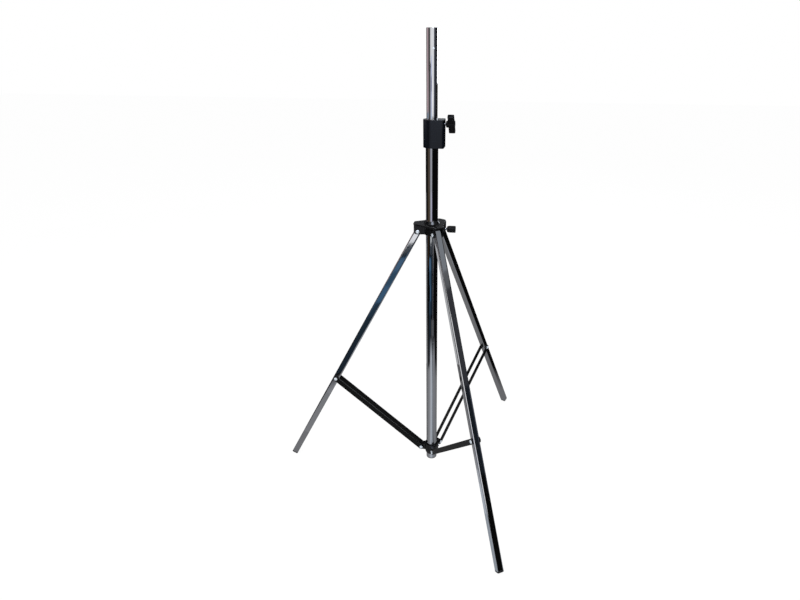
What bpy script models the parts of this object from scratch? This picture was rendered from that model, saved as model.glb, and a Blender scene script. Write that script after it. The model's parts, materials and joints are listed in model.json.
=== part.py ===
"""Light stand: a chrome column on three folding square-tube legs, with a riser that slides in the column.

Lengths are in metres and +Z is up. The feet stand on z = 0 and the origin is the middle of the footprint's
box, so the column stands a little off it. Seen from above, the left leg points along -X, the front and back
legs 60 degrees either side of +X, and both lock knobs along +X.
"""
import bpy
import bmesh
from math import asin, cos, pi, radians, sin, sqrt
from mathutils import Matrix, Vector

# Column and riser
COLUMN_DIAMETER = 0.0350
COLUMN_WALL = 0.0015
COLUMN_LENGTH = 1.1063
RISER_DIAMETER = 0.0300
RISER_WALL = 0.0015
RISER_SHOWN = 0.2231          # riser above the clamp collar

# Legs
LEG_SIDE = 0.0200
LEG_WALL = 0.0012
LEG_CORNER = 0.0030
LEG_LENGTH = 0.9660           # pivot to the foot's end face
LEG_ABOVE_PIVOT = 0.0110
LEG_ANGLE = radians(28.25)    # from upright, stand open
LEG_ANGLE_FOLDED = radians(1.5)
FOOT_THICKNESS = 0.0050
FOOT_EDGE = 0.0015
FOOT_SPIGOT = 0.0200
FOOT_WORN = 0.0020            # height cut off for the flat that rests on the floor

# Braces
BRACE_ON_LEG = 0.5950         # leg pivot to brace joint
BRACE_LENGTH = 0.3820         # hole to hole
BRACE_WIDTH = 0.0170
BRACE_THICKNESS = 0.0030
BRACE_EDGE = 0.0004
HUB_PIVOT_RADIUS = 0.0350
SPIDER_PIVOT_RADIUS = 0.0400

# Bottom hub, heights from its pivots
HUB_RADIUS = 0.0235
HUB_TOP = 0.0140
HUB_WAIST = -0.0090
HUB_BOTTOM = -0.0220
HUB_BOTTOM_RADIUS = 0.0200
HUB_CHAMFER = 0.0015
HUB_TONGUE_RADIUS = 0.0090
HUB_TONGUE_ROOT = 0.0120      # half the tongue's height at the barrel
COLUMN_BELOW_PIVOT = 0.0400
END_PLUG_FLANGE = 0.0025
END_PLUG_SPIGOT = 0.0220

# Spider collar, heights from its pivots
SPIDER_SLEEVE_RADIUS = 0.0235
SPIDER_SLEEVE_BOTTOM = -0.0085
SPIDER_SLEEVE_EDGE = 0.0010
SPIDER_TOP = 0.0243
SPIDER_PLATE = 0.0055
SPIDER_REACH = 0.0535         # axis to the end of a lug
SPIDER_CORNER = 0.0065
SPIDER_RIM = 0.0020
SPIDER_NECK = 0.0080          # height of the neck over the plate
SPIDER_NECK_RADIUS = 0.0192   # at its top
EAR_THICKNESS = 0.0040
EAR_BOTTOM = -0.0080
EAR_ROUND = 0.0080
SPIDER_KNOB_HEIGHT = 0.0075
SPIDER_BOSS_RADIUS = 0.0085
SPIDER_BOSS_REACH = 0.0390    # axis to the face that the lock knob faces
SPIDER_WEB = 0.0119           # width of the web between boss and plate

# Clamp collar
COLLAR_HEIGHT = 0.0748
COLLAR_OVER_COLUMN = 0.0502   # length of column held in the collar
COLLAR_RADIUS = 0.0241
COLLAR_REACH = 0.0352         # axis to the flat that the knob faces
COLLAR_CORNER = 0.0065
COLLAR_RIM = 0.0012
CLAMP_BELOW_TOP = 0.0125

# Lock screws and knobs
STUD_DIAMETER = 0.0080
INSERT_DIAMETER = 0.0120
INSERT_LENGTH = 0.0080
INSERT_WALL_IN = 0.0030       # from the bore to the insert's pocket
PAD_THICKNESS = 0.0026
CLAMP_STUD_SHOWN = 0.0033     # bare stud between the collar and its knob
SPIDER_STUD_SHOWN = 0.0054
STUD_IN_KNOB = 0.0120
STUD_CHAMFER = 0.0008
WING_LENGTH = 0.0690
WING_DEPTH = 0.0178
WING_THICKNESS = 0.0110
WING_CORNER = 0.0028
WING_RIM = 0.0020
WING_SET_BACK = 0.0010        # the hub's outer face stands this far out of the wing
WING_HUB_RADIUS = 0.0092
WING_HUB_LENGTH = 0.0245
WING_NOSE = 0.0030            # round of the hub's end towards the collar
WING_TURN = radians(46.0)
ROUND_KNOB_LENGTH = 0.0250
ROUND_KNOB_RADIUS = 0.0102
ROUND_KNOB_NOSE = 0.0095      # length of its rounded inner end
ROUND_KNOB_RIM = 0.0014
ROUND_KNOB_FLUTES = 10
ROUND_KNOB_FLUTE = 0.0008     # depth of a flute
# The nose as shares: its width, the way along it and the depth of its flutes
ROUND_KNOB_SHAPE = ((0.62, 0, 0), (0.86, 0.23, 0), (0.97, 0.58, 0.6), (1, 1, 1))

# Rivets, screws and plugs
PIVOT_RIVET_RADIUS = 0.0040
BRACE_RIVET_RADIUS = 0.0030
RIVET_HEAD_RADIUS = 0.0056
RIVET_HEAD_HEIGHT = 0.0030
RIVET_HEAD_RIM = 0.25         # share of the head's height that its rim stands up straight
SCREW_RADIUS = 0.0024
SCREW_HEAD_RADIUS = 0.0048
SCREW_HEAD_HEIGHT = 0.0028
SCREW_HEAD_SHAPE = ((1.0, 0.0), (1.0, 0.4), (0.75, 0.85), (0.35, 1.0))   # width and height, as shares
HUB_SCREW_HEIGHT = 0.0050
COLLAR_SCREW_HEIGHT = 0.0170
TOP_PLUG_LENGTH = 0.0640
TOP_PLUG_WALL = 0.0022
TOP_PLUG_CROWN = 0.0040
PLUG_RIVET_BELOW_TOP = 0.0481
PLUG_RIVET_RADIUS = 0.0016
PLUG_RIVET_HEAD = 0.0030
PLUG_RIVET_HEIGHT = 0.0013
PLUG_RIVET_SHAPE = ((1.0, 0.0), (0.85, 0.6), (0.4, 1.0))   # width and height, as shares
PLUG_RIVET_AZIMUTH = radians(-71.0)
GUIDE_FLANGE = 0.0030
GUIDE_SPIGOT = 0.0200

CLEARANCE = 0.0003            # between pieces that seat on or in each other
RUNNING = 0.0004              # between a leg and the ears beside it
OVERCUT = 0.0030              # how far a cutter runs past what it cuts
EDGE = 0.0008                 # broken edge of a moulding
TUBE_EDGE = 0.0003            # broken edge of a tube's end
TUBE_STEPS = 40
KNOB_STEPS = 24
RIVET_STEPS = 14

LEGS = {"left": pi, "front": -pi / 3, "back": pi / 3}


def linkage_height(angle):
    """Height of the leg pivots over the hub pivots while the legs stand at this angle from upright."""
    side = SPIDER_PIVOT_RADIUS - HUB_PIVOT_RADIUS + BRACE_ON_LEG * sin(angle)
    return BRACE_ON_LEG * cos(angle) + sqrt(BRACE_LENGTH ** 2 - side ** 2)


def brace_angle(angle):
    """Angle of the braces from upright while the legs stand at this angle from upright."""
    return asin((SPIDER_PIVOT_RADIUS - HUB_PIVOT_RADIUS + BRACE_ON_LEG * sin(angle)) / BRACE_LENGTH)


# Places worked out from the driving dimensions
FOOT_HEIGHT = LEG_SIDE / 2 * sin(LEG_ANGLE) - FOOT_WORN
SPIDER_PIVOT_Z = LEG_LENGTH * cos(LEG_ANGLE) + FOOT_HEIGHT
HUB_PIVOT_Z = SPIDER_PIVOT_Z - linkage_height(LEG_ANGLE)
FOLD_TRAVEL = linkage_height(LEG_ANGLE_FOLDED) - linkage_height(LEG_ANGLE)
COLUMN_BOTTOM_Z = HUB_PIVOT_Z - COLUMN_BELOW_PIVOT
COLUMN_TOP_Z = COLUMN_BOTTOM_Z + COLUMN_LENGTH
COLLAR_BOTTOM_Z = COLUMN_TOP_Z - COLLAR_OVER_COLUMN
COLLAR_TOP_Z = COLLAR_BOTTOM_Z + COLLAR_HEIGHT
CLAMP_Z = COLLAR_TOP_Z - CLAMP_BELOW_TOP
RISER_TOP_Z = COLLAR_TOP_Z + RISER_SHOWN
END_PLUG_TOP_Z = COLUMN_BOTTOM_Z + END_PLUG_SPIGOT
GUIDE_BOTTOM_Z = END_PLUG_TOP_Z + CLEARANCE
RISER_BOTTOM_Z = GUIDE_BOTTOM_Z + GUIDE_FLANGE + CLEARANCE

COLUMN_RADIUS = COLUMN_DIAMETER / 2
COLUMN_BORE = COLUMN_RADIUS - COLUMN_WALL
RISER_RADIUS = RISER_DIAMETER / 2
RISER_BORE = RISER_RADIUS - RISER_WALL
STUD_RADIUS = STUD_DIAMETER / 2
TONGUE_HALF = LEG_SIDE / 2 + CLEARANCE
BAR_INNER = TONGUE_HALF + CLEARANCE
BAR_OUTER = BAR_INNER + BRACE_THICKNESS
EAR_INNER = LEG_SIDE / 2 + RUNNING
EAR_OUTER = EAR_INNER + EAR_THICKNESS
SPIDER_FLAT = ((SPIDER_REACH - SPIDER_CORNER) * cos(pi / 3)
               + (EAR_OUTER - SPIDER_CORNER) * sin(pi / 3) + SPIDER_CORNER)


def column_offset():
    """How far the column stands from the middle of the footprint's box, from the corners of the feet."""
    reach = SPIDER_PIVOT_RADIUS + (LEG_LENGTH - FOOT_EDGE) * sin(LEG_ANGLE)
    tilt = cos(LEG_ANGLE)
    left = reach + LEG_SIDE / 2 * tilt
    straight = (LEG_SIDE / 2 - LEG_CORNER) * (tilt * cos(pi / 3) + sin(pi / 3))
    right = reach * cos(pi / 3) + straight + LEG_CORNER * sqrt((tilt * cos(pi / 3)) ** 2 + sin(pi / 3) ** 2)
    return (left - right) / 2


def finish(name, colour, roughness, metallic):
    """A Principled material."""
    material = bpy.data.materials.new(name)
    material.use_nodes = True
    shader = material.node_tree.nodes["Principled BSDF"]
    shader.inputs["Base Color"].default_value = (*colour, 1.0)
    shader.inputs["Roughness"].default_value = roughness
    shader.inputs["Metallic"].default_value = metallic
    material.diffuse_color = (*colour, 1.0)
    return material


def chrome(name):
    return finish(name, (0.78, 0.79, 0.82), 0.08, 1.0)


def rivet_steel(name):
    return finish(name, (0.72, 0.74, 0.78), 0.18, 1.0)


def black_moulding(name):
    return finish(name, (0.018, 0.019, 0.022), 0.42, 0.0)


def black_paint(name):
    return finish(name, (0.012, 0.012, 0.013), 0.35, 0.0)


def brass(name):
    return finish(name, (0.62, 0.47, 0.20), 0.30, 1.0)


def circle(radius, z, steps=TUBE_STEPS):
    """Ring of points round the Z axis."""
    angles = [2 * pi * i / steps for i in range(steps)]
    return [Vector((radius * cos(a), radius * sin(a), z)) for a in angles]


def rounded_square(half, corner, z, steps=4):
    """Ring of points round a square with round corners."""
    ring = []
    for quarter in range(4):
        for i in range(steps):
            turn = pi / 2 * (quarter + i / (steps - 1))
            side = Matrix.Rotation(pi / 2 * quarter, 2) @ Vector((half - corner, half - corner))
            ring.append(Vector((side.x + corner * cos(turn), side.y + corner * sin(turn), z)))
    return ring


def loft(rings, hollow=False):
    """Skin over a row of rings, capped at both ends or, when hollow, closed from last ring to first."""
    shape = bmesh.new()
    loops = [[shape.verts.new(point) for point in ring] for ring in rings]
    pairs = list(zip(loops, loops[1:]))
    if hollow:
        pairs.append((loops[-1], loops[0]))
    else:
        shape.faces.new(loops[0])
        shape.faces.new(loops[-1])
    for lower, upper in pairs:
        for i in range(len(lower)):
            j = (i + 1) % len(lower)
            shape.faces.new((lower[i], lower[j], upper[j], upper[i]))
    bmesh.ops.recalc_face_normals(shape, faces=shape.faces)
    return shape


def turned(profile, steps=TUBE_STEPS, hollow=False):
    """Turned shape round Z from (radius, height) points."""
    return loft([circle(radius, z, steps) for radius, z in profile], hollow)


def prism(outline, low, high, rim=0.0, segments=2):
    """Outline in X and Y carried along Z, with its two rims rounded off."""
    shape = loft([[Vector((x, y, z)) for x, y in outline] for z in (low, high)])
    if rim:
        edges = [edge for edge in shape.edges if abs(edge.verts[0].co.z - edge.verts[1].co.z) < 1e-9]
        bmesh.ops.bevel(shape, geom=edges, offset=rim, segments=segments, profile=0.5, affect="EDGES")
    return shape


def placed(shape, matrix):
    """The same shape, moved by a matrix."""
    bmesh.ops.transform(shape, matrix=matrix, verts=shape.verts)
    return shape


def shift(x=0.0, y=0.0, z=0.0):
    return Matrix.Translation((x, y, z))


def turn(angle, axis):
    return Matrix.Rotation(angle, 4, axis)


UPRIGHT = turn(pi / 2, "X")      # carries an outline's Y to +Z and its thickness to the Y direction
ALONG_X = turn(pi / 2, "Y")      # carries a turned shape's Z to +X
ALONG_Y = turn(-pi / 2, "X")     # carries a turned shape's Z to +Y


def pin(radius, low, high, steps=RIVET_STEPS):
    """Plain cylinder along Z, mostly used as a cutter."""
    return turned([(radius, low), (radius, high)], steps)


def cross_pin(radius, half_length, x=0.0, z=0.0):
    """Cylinder along Y through the point (x, z)."""
    return placed(pin(radius, -half_length, half_length), shift(x, 0, z) @ ALONG_Y)


def to_mesh(name, shape):
    mesh = bpy.data.meshes.new(name)
    shape.to_mesh(mesh)
    shape.free()
    return mesh


def combined(name, base, steps):
    """Mesh of the base shape after a list of (operation, tool shape) steps, each an exact Boolean."""
    body = bpy.data.objects.new(name, to_mesh(name, base))
    bpy.context.collection.objects.link(body)
    tools = []
    for operation, tool in steps:
        guide = bpy.data.objects.new(name + "_guide", to_mesh(name + "_guide", tool))
        guide.hide_render = True
        guide.display_type = "WIRE"
        bpy.context.collection.objects.link(guide)
        modifier = body.modifiers.new(operation.title(), "BOOLEAN")
        modifier.operation = operation
        modifier.solver = "EXACT"
        modifier.object = guide
        tools.append(guide)
    mesh = bpy.data.meshes.new_from_object(body.evaluated_get(bpy.context.evaluated_depsgraph_get()))
    for helper in [body] + tools:
        bpy.data.objects.remove(helper)
    return mesh


def cut(name, base, *tools):
    return combined(name, base, [("DIFFERENCE", tool) for tool in tools])


def joint(name, matrix, parent=None):
    """Empty on a joint's axis, which carries the pieces that move with it."""
    empty = bpy.data.objects.new(name, None)
    empty.empty_display_size = 0.03
    empty.parent = parent
    empty.matrix_local = matrix
    bpy.context.collection.objects.link(empty)
    return empty


def piece(name, mesh, material, parent, matrix=Matrix.Identity(4)):
    """One sub-part of the stand, under the empty that carries it."""
    if isinstance(mesh, bmesh.types.BMesh):
        mesh = to_mesh(name, mesh)
    mesh.materials.clear()
    mesh.materials.append(material)
    mesh.shade_smooth()
    mesh.set_sharp_from_angle(angle=radians(35))
    thing = bpy.data.objects.new(name, mesh)
    thing.parent = parent
    thing.matrix_local = matrix
    bpy.context.collection.objects.link(thing)
    return thing


def dome(radius, height, base, steps=2):
    """Profile of a rivet's domed head, from its rim to its top."""
    angles = [pi / 2 * i / (steps + 1) for i in range(steps + 1)]
    rim, rise = base + height * RIVET_HEAD_RIM, height * (1 - RIVET_HEAD_RIM)
    return [(radius, base)] + [(radius * cos(a), rim + rise * sin(a)) for a in angles]


def rivet(shank, face):
    """Rivet along Y with a domed head outside each face."""
    head = dome(RIVET_HEAD_RADIUS, RIVET_HEAD_HEIGHT, face + CLEARANCE)
    half = [(shank, face + CLEARANCE)] + head
    profile = [(radius, -z) for radius, z in reversed(half)] + half
    return placed(turned(profile, RIVET_STEPS), ALONG_Y)


def half_rivet(shank, inner, outer, side):
    """Rivet end on one bar, along Y: a short shank through the bar with a domed head outside it."""
    profile = [(shank, inner), (shank, outer + CLEARANCE)]
    profile += dome(RIVET_HEAD_RADIUS, RIVET_HEAD_HEIGHT, outer + CLEARANCE)
    return placed(turned(profile, RIVET_STEPS), ALONG_Y if side > 0 else ALONG_Y @ turn(pi, "X"))


def column_tube():
    bottom, top = COLUMN_BOTTOM_Z, COLUMN_TOP_Z
    tube = turned([(COLUMN_RADIUS, bottom), (COLUMN_RADIUS, top), (COLUMN_BORE, top), (COLUMN_BORE, bottom)],
                  hollow=True)
    hub_hole = placed(pin(SCREW_RADIUS + CLEARANCE, 0, COLUMN_RADIUS + OVERCUT),
                      shift(z=HUB_PIVOT_Z + HUB_SCREW_HEIGHT) @ ALONG_X)
    collar_hole = placed(pin(SCREW_RADIUS + CLEARANCE, 0, COLUMN_RADIUS + OVERCUT),
                         shift(z=COLLAR_BOTTOM_Z + COLLAR_SCREW_HEIGHT) @ ALONG_Y)
    return cut("column_tube", tube, hub_hole, collar_hole)


def column_end_plug():
    edge = END_PLUG_FLANGE / 2
    flange = COLUMN_BOTTOM_Z - CLEARANCE
    spigot = COLUMN_BORE - CLEARANCE
    return turned([(COLUMN_RADIUS - edge, flange - END_PLUG_FLANGE), (COLUMN_RADIUS, flange - edge),
                   (COLUMN_RADIUS, flange), (spigot, flange), (spigot, END_PLUG_TOP_Z - edge),
                   (spigot - edge, END_PLUG_TOP_Z)])


def arc(centre_x, centre_y, radius, start, end, steps):
    """Points of an arc, both ends included."""
    angles = [start + (end - start) * i / (steps - 1) for i in range(steps)]
    return [(centre_x + radius * cos(a), centre_y + radius * sin(a)) for a in angles]


def hub_tongue():
    """Tongue that a pair of brace bars is riveted to, in the plane of one leg."""
    outline = [(COLUMN_RADIUS, -HUB_TONGUE_ROOT)]
    outline += arc(HUB_PIVOT_RADIUS, 0, HUB_TONGUE_RADIUS, -pi / 2, pi / 2, 11)
    outline += [(COLUMN_RADIUS, HUB_TONGUE_ROOT)]
    return placed(prism(outline, -TONGUE_HALF, TONGUE_HALF, EDGE), UPRIGHT)


def bottom_hub():
    """Moulded hub at the column's foot, in heights from its pivots."""
    barrel = turned([(HUB_BOTTOM_RADIUS, HUB_BOTTOM), (HUB_RADIUS, HUB_WAIST),
                     (HUB_RADIUS, HUB_TOP - HUB_CHAMFER), (HUB_RADIUS - HUB_CHAMFER, HUB_TOP)])
    bore = pin(COLUMN_RADIUS + CLEARANCE, HUB_BOTTOM - OVERCUT, HUB_TOP + OVERCUT, TUBE_STEPS)
    steps = [("UNION", placed(hub_tongue(), turn(azimuth, "Z"))) for azimuth in LEGS.values()]
    steps.append(("DIFFERENCE", bore))
    for azimuth in LEGS.values():
        hole = cross_pin(BRACE_RIVET_RADIUS + CLEARANCE, TONGUE_HALF + OVERCUT, HUB_PIVOT_RADIUS)
        steps.append(("DIFFERENCE", placed(hole, turn(azimuth, "Z"))))
    screw_hole = pin(SCREW_RADIUS + CLEARANCE, 0, HUB_RADIUS + OVERCUT)
    steps.append(("DIFFERENCE", placed(screw_hole, shift(z=HUB_SCREW_HEIGHT) @ ALONG_X)))
    return combined("bottom_hub", barrel, steps)


def screw(tip, face):
    """Round-headed fixing screw along Z, from its tip to a head outside the face."""
    seat = face + CLEARANCE
    profile = [(SCREW_RADIUS, tip), (SCREW_RADIUS, seat)]
    for width, height in SCREW_HEAD_SHAPE:
        profile.append((SCREW_HEAD_RADIUS * width, seat + SCREW_HEAD_HEIGHT * height))
    return turned(profile, RIVET_STEPS)


def brace_bar():
    """Flat bar with round ends, its lower hole at the origin and its length along Z."""
    half = BRACE_WIDTH / 2
    outline = arc(0, 0, half, pi, 2 * pi, 9) + arc(0, BRACE_LENGTH, half, 0, pi, 9)
    bar = placed(prism(outline, -BRACE_THICKNESS / 2, BRACE_THICKNESS / 2, BRACE_EDGE, 1), UPRIGHT)
    holes = [cross_pin(BRACE_RIVET_RADIUS + CLEARANCE, BRACE_THICKNESS, 0, z) for z in (0, BRACE_LENGTH)]
    return cut("brace_bar", bar, *holes)


def spider_plate_outline():
    """Rounded triangle that covers the three forks, two corners to a lug."""
    outline = []
    inner = SPIDER_REACH - SPIDER_CORNER
    side = EAR_OUTER - SPIDER_CORNER
    for azimuth in sorted(LEGS.values()):
        for sign in (-1, 1):
            x = inner * cos(azimuth) - sign * side * sin(azimuth)
            y = inner * sin(azimuth) + sign * side * cos(azimuth)
            start = azimuth - pi / 3 if sign < 0 else azimuth
            outline += arc(x, y, SPIDER_CORNER, start, start + pi / 3, 4)
    return outline


def spider_ear():
    """One ear of a fork, from the sleeve to the lug's end, centred on Y = 0."""
    top = SPIDER_TOP - SPIDER_PLATE / 2
    end = SPIDER_REACH - SPIDER_RIM
    outline = [(COLUMN_RADIUS, top), (COLUMN_RADIUS, SPIDER_SLEEVE_BOTTOM),
               (SPIDER_SLEEVE_RADIUS, SPIDER_SLEEVE_BOTTOM), (SPIDER_PIVOT_RADIUS - EAR_ROUND, EAR_BOTTOM)]
    outline += arc(end - EAR_ROUND, EAR_BOTTOM + EAR_ROUND, EAR_ROUND, -pi / 2, 0, 5)
    outline += [(end, top)]
    return placed(prism(outline, -EAR_THICKNESS / 2, EAR_THICKNESS / 2), UPRIGHT)


def spider_boss():
    """Boss under the plate that the lock screw goes through, along X."""
    profile = [(SPIDER_BOSS_RADIUS, COLUMN_RADIUS), (SPIDER_BOSS_RADIUS, SPIDER_BOSS_REACH - EDGE),
               (SPIDER_BOSS_RADIUS - EDGE, SPIDER_BOSS_REACH)]
    return placed(turned(profile, KNOB_STEPS), shift(z=SPIDER_KNOB_HEIGHT) @ ALONG_X)


def spider_boss_web():
    """Web that joins the top of the boss to the plate."""
    half = SPIDER_WEB / 2
    near, far = COLUMN_RADIUS - CLEARANCE, SPIDER_FLAT - SPIDER_RIM
    outline = [(near, -half), (far, -half), (far, half), (near, half)]
    return prism(outline, SPIDER_KNOB_HEIGHT + SPIDER_BOSS_RADIUS / 3, SPIDER_TOP - SPIDER_PLATE / 3)


def stud_passage(bore, outside):
    """Cutter along X for a lock screw, its pad and the pocket of its threaded insert."""
    hole = STUD_RADIUS + CLEARANCE
    wide = INSERT_DIAMETER / 2 + CLEARANCE
    pocket = bore + INSERT_WALL_IN
    pocket_end = pocket + INSERT_LENGTH + 2 * CLEARANCE
    profile = [(hole, bore - OVERCUT), (hole, pocket), (wide, pocket), (wide, pocket_end), (hole, pocket_end),
               (hole, outside + OVERCUT)]
    return placed(turned(profile, KNOB_STEPS), ALONG_X)


def spider_collar():
    """Moulded collar that slides on the column and carries the legs, in heights from its pivots."""
    plate = prism(spider_plate_outline(), SPIDER_TOP - SPIDER_PLATE, SPIDER_TOP, SPIDER_RIM, 3)
    sleeve = turned([(SPIDER_SLEEVE_RADIUS - SPIDER_SLEEVE_EDGE, SPIDER_SLEEVE_BOTTOM),
                     (SPIDER_SLEEVE_RADIUS, SPIDER_SLEEVE_BOTTOM + SPIDER_SLEEVE_EDGE),
                     (SPIDER_SLEEVE_RADIUS, SPIDER_TOP + SPIDER_SLEEVE_EDGE),
                     (SPIDER_NECK_RADIUS, SPIDER_TOP + SPIDER_NECK)])
    steps = [("UNION", sleeve), ("UNION", spider_boss()), ("UNION", spider_boss_web())]
    for azimuth in LEGS.values():
        for side in (-1, 1):
            ear = placed(spider_ear(), turn(azimuth, "Z") @ shift(y=side * (EAR_INNER + EAR_THICKNESS / 2)))
            steps.append(("UNION", ear))
    top = SPIDER_TOP + SPIDER_NECK
    bore = pin(COLUMN_RADIUS + CLEARANCE, SPIDER_SLEEVE_BOTTOM - OVERCUT, top + OVERCUT, TUBE_STEPS)
    steps.append(("DIFFERENCE", bore))
    for azimuth in LEGS.values():
        hole = cross_pin(PIVOT_RIVET_RADIUS + CLEARANCE, EAR_OUTER + OVERCUT, SPIDER_PIVOT_RADIUS)
        steps.append(("DIFFERENCE", placed(hole, turn(azimuth, "Z"))))
    passage = stud_passage(COLUMN_RADIUS + CLEARANCE, SPIDER_BOSS_REACH)
    steps.append(("DIFFERENCE", placed(passage, shift(z=SPIDER_KNOB_HEIGHT))))
    return combined("spider_collar", plate, steps)


def clamp_collar():
    """Moulded collar on the column's top, round on one side and square towards the knob."""
    corner_x = COLLAR_REACH - COLLAR_CORNER
    corner_y = COLLAR_RADIUS - COLLAR_CORNER
    outline = arc(0, 0, COLLAR_RADIUS, pi / 2, 3 * pi / 2, 25)
    outline += arc(corner_x, -corner_y, COLLAR_CORNER, -pi / 2, 0, 6)
    outline += arc(corner_x, corner_y, COLLAR_CORNER, 0, pi / 2, 6)
    body = prism(outline, 0, COLLAR_HEIGHT, COLLAR_RIM)
    wide, narrow = COLUMN_RADIUS + CLEARANCE, RISER_RADIUS + CLEARANCE
    shoulder = COLLAR_OVER_COLUMN + CLEARANCE
    bore = turned([(wide, -OVERCUT), (wide, shoulder), (narrow, shoulder), (narrow, COLLAR_HEIGHT + OVERCUT)])
    passage = stud_passage(RISER_RADIUS + CLEARANCE, COLLAR_REACH)
    passage = placed(passage, shift(z=COLLAR_HEIGHT - CLAMP_BELOW_TOP))
    screw_hole = pin(SCREW_RADIUS + CLEARANCE, 0, COLLAR_RADIUS + OVERCUT)
    screw_hole = placed(screw_hole, shift(z=COLLAR_SCREW_HEIGHT) @ ALONG_Y)
    return cut("clamp_collar", body, bore, passage, screw_hole)


def threaded_insert(bore):
    """Insert in its pocket, along X from the column's axis."""
    start = bore + INSERT_WALL_IN + CLEARANCE
    end = start + INSERT_LENGTH
    inner, outer = STUD_RADIUS + CLEARANCE, INSERT_DIAMETER / 2
    profile = [(outer, start), (outer, end), (inner, end), (inner, start)]
    return placed(turned(profile, KNOB_STEPS, hollow=True), ALONG_X)


def pressure_pad(bore):
    """Disc between the lock screw's tip and the tube it presses on."""
    edge = EDGE / 2
    profile = [(STUD_RADIUS - edge, bore), (STUD_RADIUS, bore + edge), (STUD_RADIUS, bore + PAD_THICKNESS)]
    return placed(turned(profile, RIVET_STEPS), ALONG_X)


def lock_stud(bore, knob):
    """Lock screw along X, from the column's axis: tip at the pad, other end moulded into its knob."""
    tip = bore + PAD_THICKNESS + CLEARANCE
    end = knob + STUD_IN_KNOB - CLEARANCE
    profile = [(STUD_RADIUS - STUD_CHAMFER, tip), (STUD_RADIUS, tip + STUD_CHAMFER), (STUD_RADIUS, end)]
    return placed(turned(profile, RIVET_STEPS), ALONG_X)


def stud_socket():
    return placed(pin(STUD_RADIUS + CLEARANCE, -OVERCUT, STUD_IN_KNOB), ALONG_X)


def wing(inner, outer):
    """Wing between two distances along X: a bar with round corners, its length along Z."""
    half = WING_LENGTH / 2 - WING_CORNER
    corners = [(inner + WING_CORNER, -half, pi), (outer - WING_CORNER, -half, 3 * pi / 2),
               (outer - WING_CORNER, half, 0), (inner + WING_CORNER, half, pi / 2)]
    outline = []
    for x, y, start in corners:
        outline += arc(x, y, WING_CORNER, start, start + pi / 2, 4)
    return placed(prism(outline, -WING_THICKNESS / 2, WING_THICKNESS / 2, WING_RIM), UPRIGHT)


def wing_knob():
    """T-shaped knob along X: a round-nosed hub from the origin, with the wing across its outer end."""
    nose = arc(WING_HUB_RADIUS - WING_NOSE, WING_NOSE, WING_NOSE, -pi / 2, 0, 4)
    profile = nose + [(WING_HUB_RADIUS, WING_HUB_LENGTH - EDGE), (WING_HUB_RADIUS - EDGE, WING_HUB_LENGTH)]
    hub = placed(turned(profile, KNOB_STEPS), ALONG_X)
    outer = WING_HUB_LENGTH - WING_SET_BACK
    bar = wing(outer - WING_DEPTH, outer)
    return combined("clamp_knob", hub, [("UNION", bar), ("DIFFERENCE", stud_socket())])


def fluted(radius, z, depth):
    """Ring with shallow flutes round it."""
    steps = 6 * ROUND_KNOB_FLUTES
    ring = []
    for i in range(steps):
        angle = 2 * pi * i / steps
        reach = radius - depth * (0.5 - 0.5 * cos(ROUND_KNOB_FLUTES * angle))
        ring.append(Vector((reach * cos(angle), reach * sin(angle), z)))
    return ring


def round_knob():
    """Fluted knob along X, its rounded inner end at the origin."""
    radius, flute = ROUND_KNOB_RADIUS, ROUND_KNOB_FLUTE
    rings = [fluted(radius * width, ROUND_KNOB_NOSE * way, flute * deep)
             for width, way, deep in ROUND_KNOB_SHAPE]
    rings += [fluted(radius, ROUND_KNOB_LENGTH - ROUND_KNOB_RIM, flute),
              fluted(radius - ROUND_KNOB_RIM, ROUND_KNOB_LENGTH, flute / 2)]
    return cut("spider_knob", placed(loft(rings), ALONG_X), stud_socket())


def riser_tube():
    bottom, top = RISER_BOTTOM_Z, RISER_TOP_Z
    tube = turned([(RISER_RADIUS, bottom), (RISER_RADIUS, top - TUBE_EDGE), (RISER_RADIUS - TUBE_EDGE, top),
                   (RISER_BORE, top), (RISER_BORE, bottom)], hollow=True)
    return cut("riser_tube", tube, plug_rivet_hole())


def plug_rivet_hole():
    start = RISER_BORE - TOP_PLUG_WALL - OVERCUT
    hole = pin(PLUG_RIVET_RADIUS + CLEARANCE, start, RISER_RADIUS + OVERCUT)
    return placed(hole, plug_rivet_place())


def plug_rivet_place():
    return shift(z=RISER_TOP_Z - PLUG_RIVET_BELOW_TOP) @ turn(PLUG_RIVET_AZIMUTH, "Z") @ ALONG_X


def riser_top_plug():
    """Cup-shaped plug pressed into the riser, its crown flush with the tube's end."""
    outer = RISER_BORE - CLEARANCE
    inner = outer - TOP_PLUG_WALL
    bottom = RISER_TOP_Z - TOP_PLUG_LENGTH
    ceiling = RISER_TOP_Z - TOP_PLUG_CROWN
    cup = turned([(inner, ceiling), (inner, bottom), (outer, bottom), (outer, RISER_TOP_Z - EDGE),
                  (outer - EDGE, RISER_TOP_Z)])
    return cut("riser_top_plug", cup, plug_rivet_hole())


def plug_rivet():
    seat = RISER_RADIUS + CLEARANCE
    profile = [(PLUG_RIVET_RADIUS, RISER_BORE - TOP_PLUG_WALL), (PLUG_RIVET_RADIUS, seat)]
    for width, height in PLUG_RIVET_SHAPE:
        profile.append((PLUG_RIVET_HEAD * width, seat + PLUG_RIVET_HEIGHT * height))
    return placed(turned(profile, RIVET_STEPS), plug_rivet_place())


def riser_guide_plug():
    """Plug in the riser's lower end: its flange is the slide that keeps the riser straight in the column."""
    flange = COLUMN_BORE - CLEARANCE
    spigot = RISER_BORE - CLEARANCE
    bottom, step = GUIDE_BOTTOM_Z, GUIDE_BOTTOM_Z + GUIDE_FLANGE
    top = step + GUIDE_SPIGOT
    return turned([(flange - EDGE, bottom), (flange, bottom + EDGE), (flange, step), (spigot, step),
                   (spigot, top - EDGE), (spigot - EDGE, top)])


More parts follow.
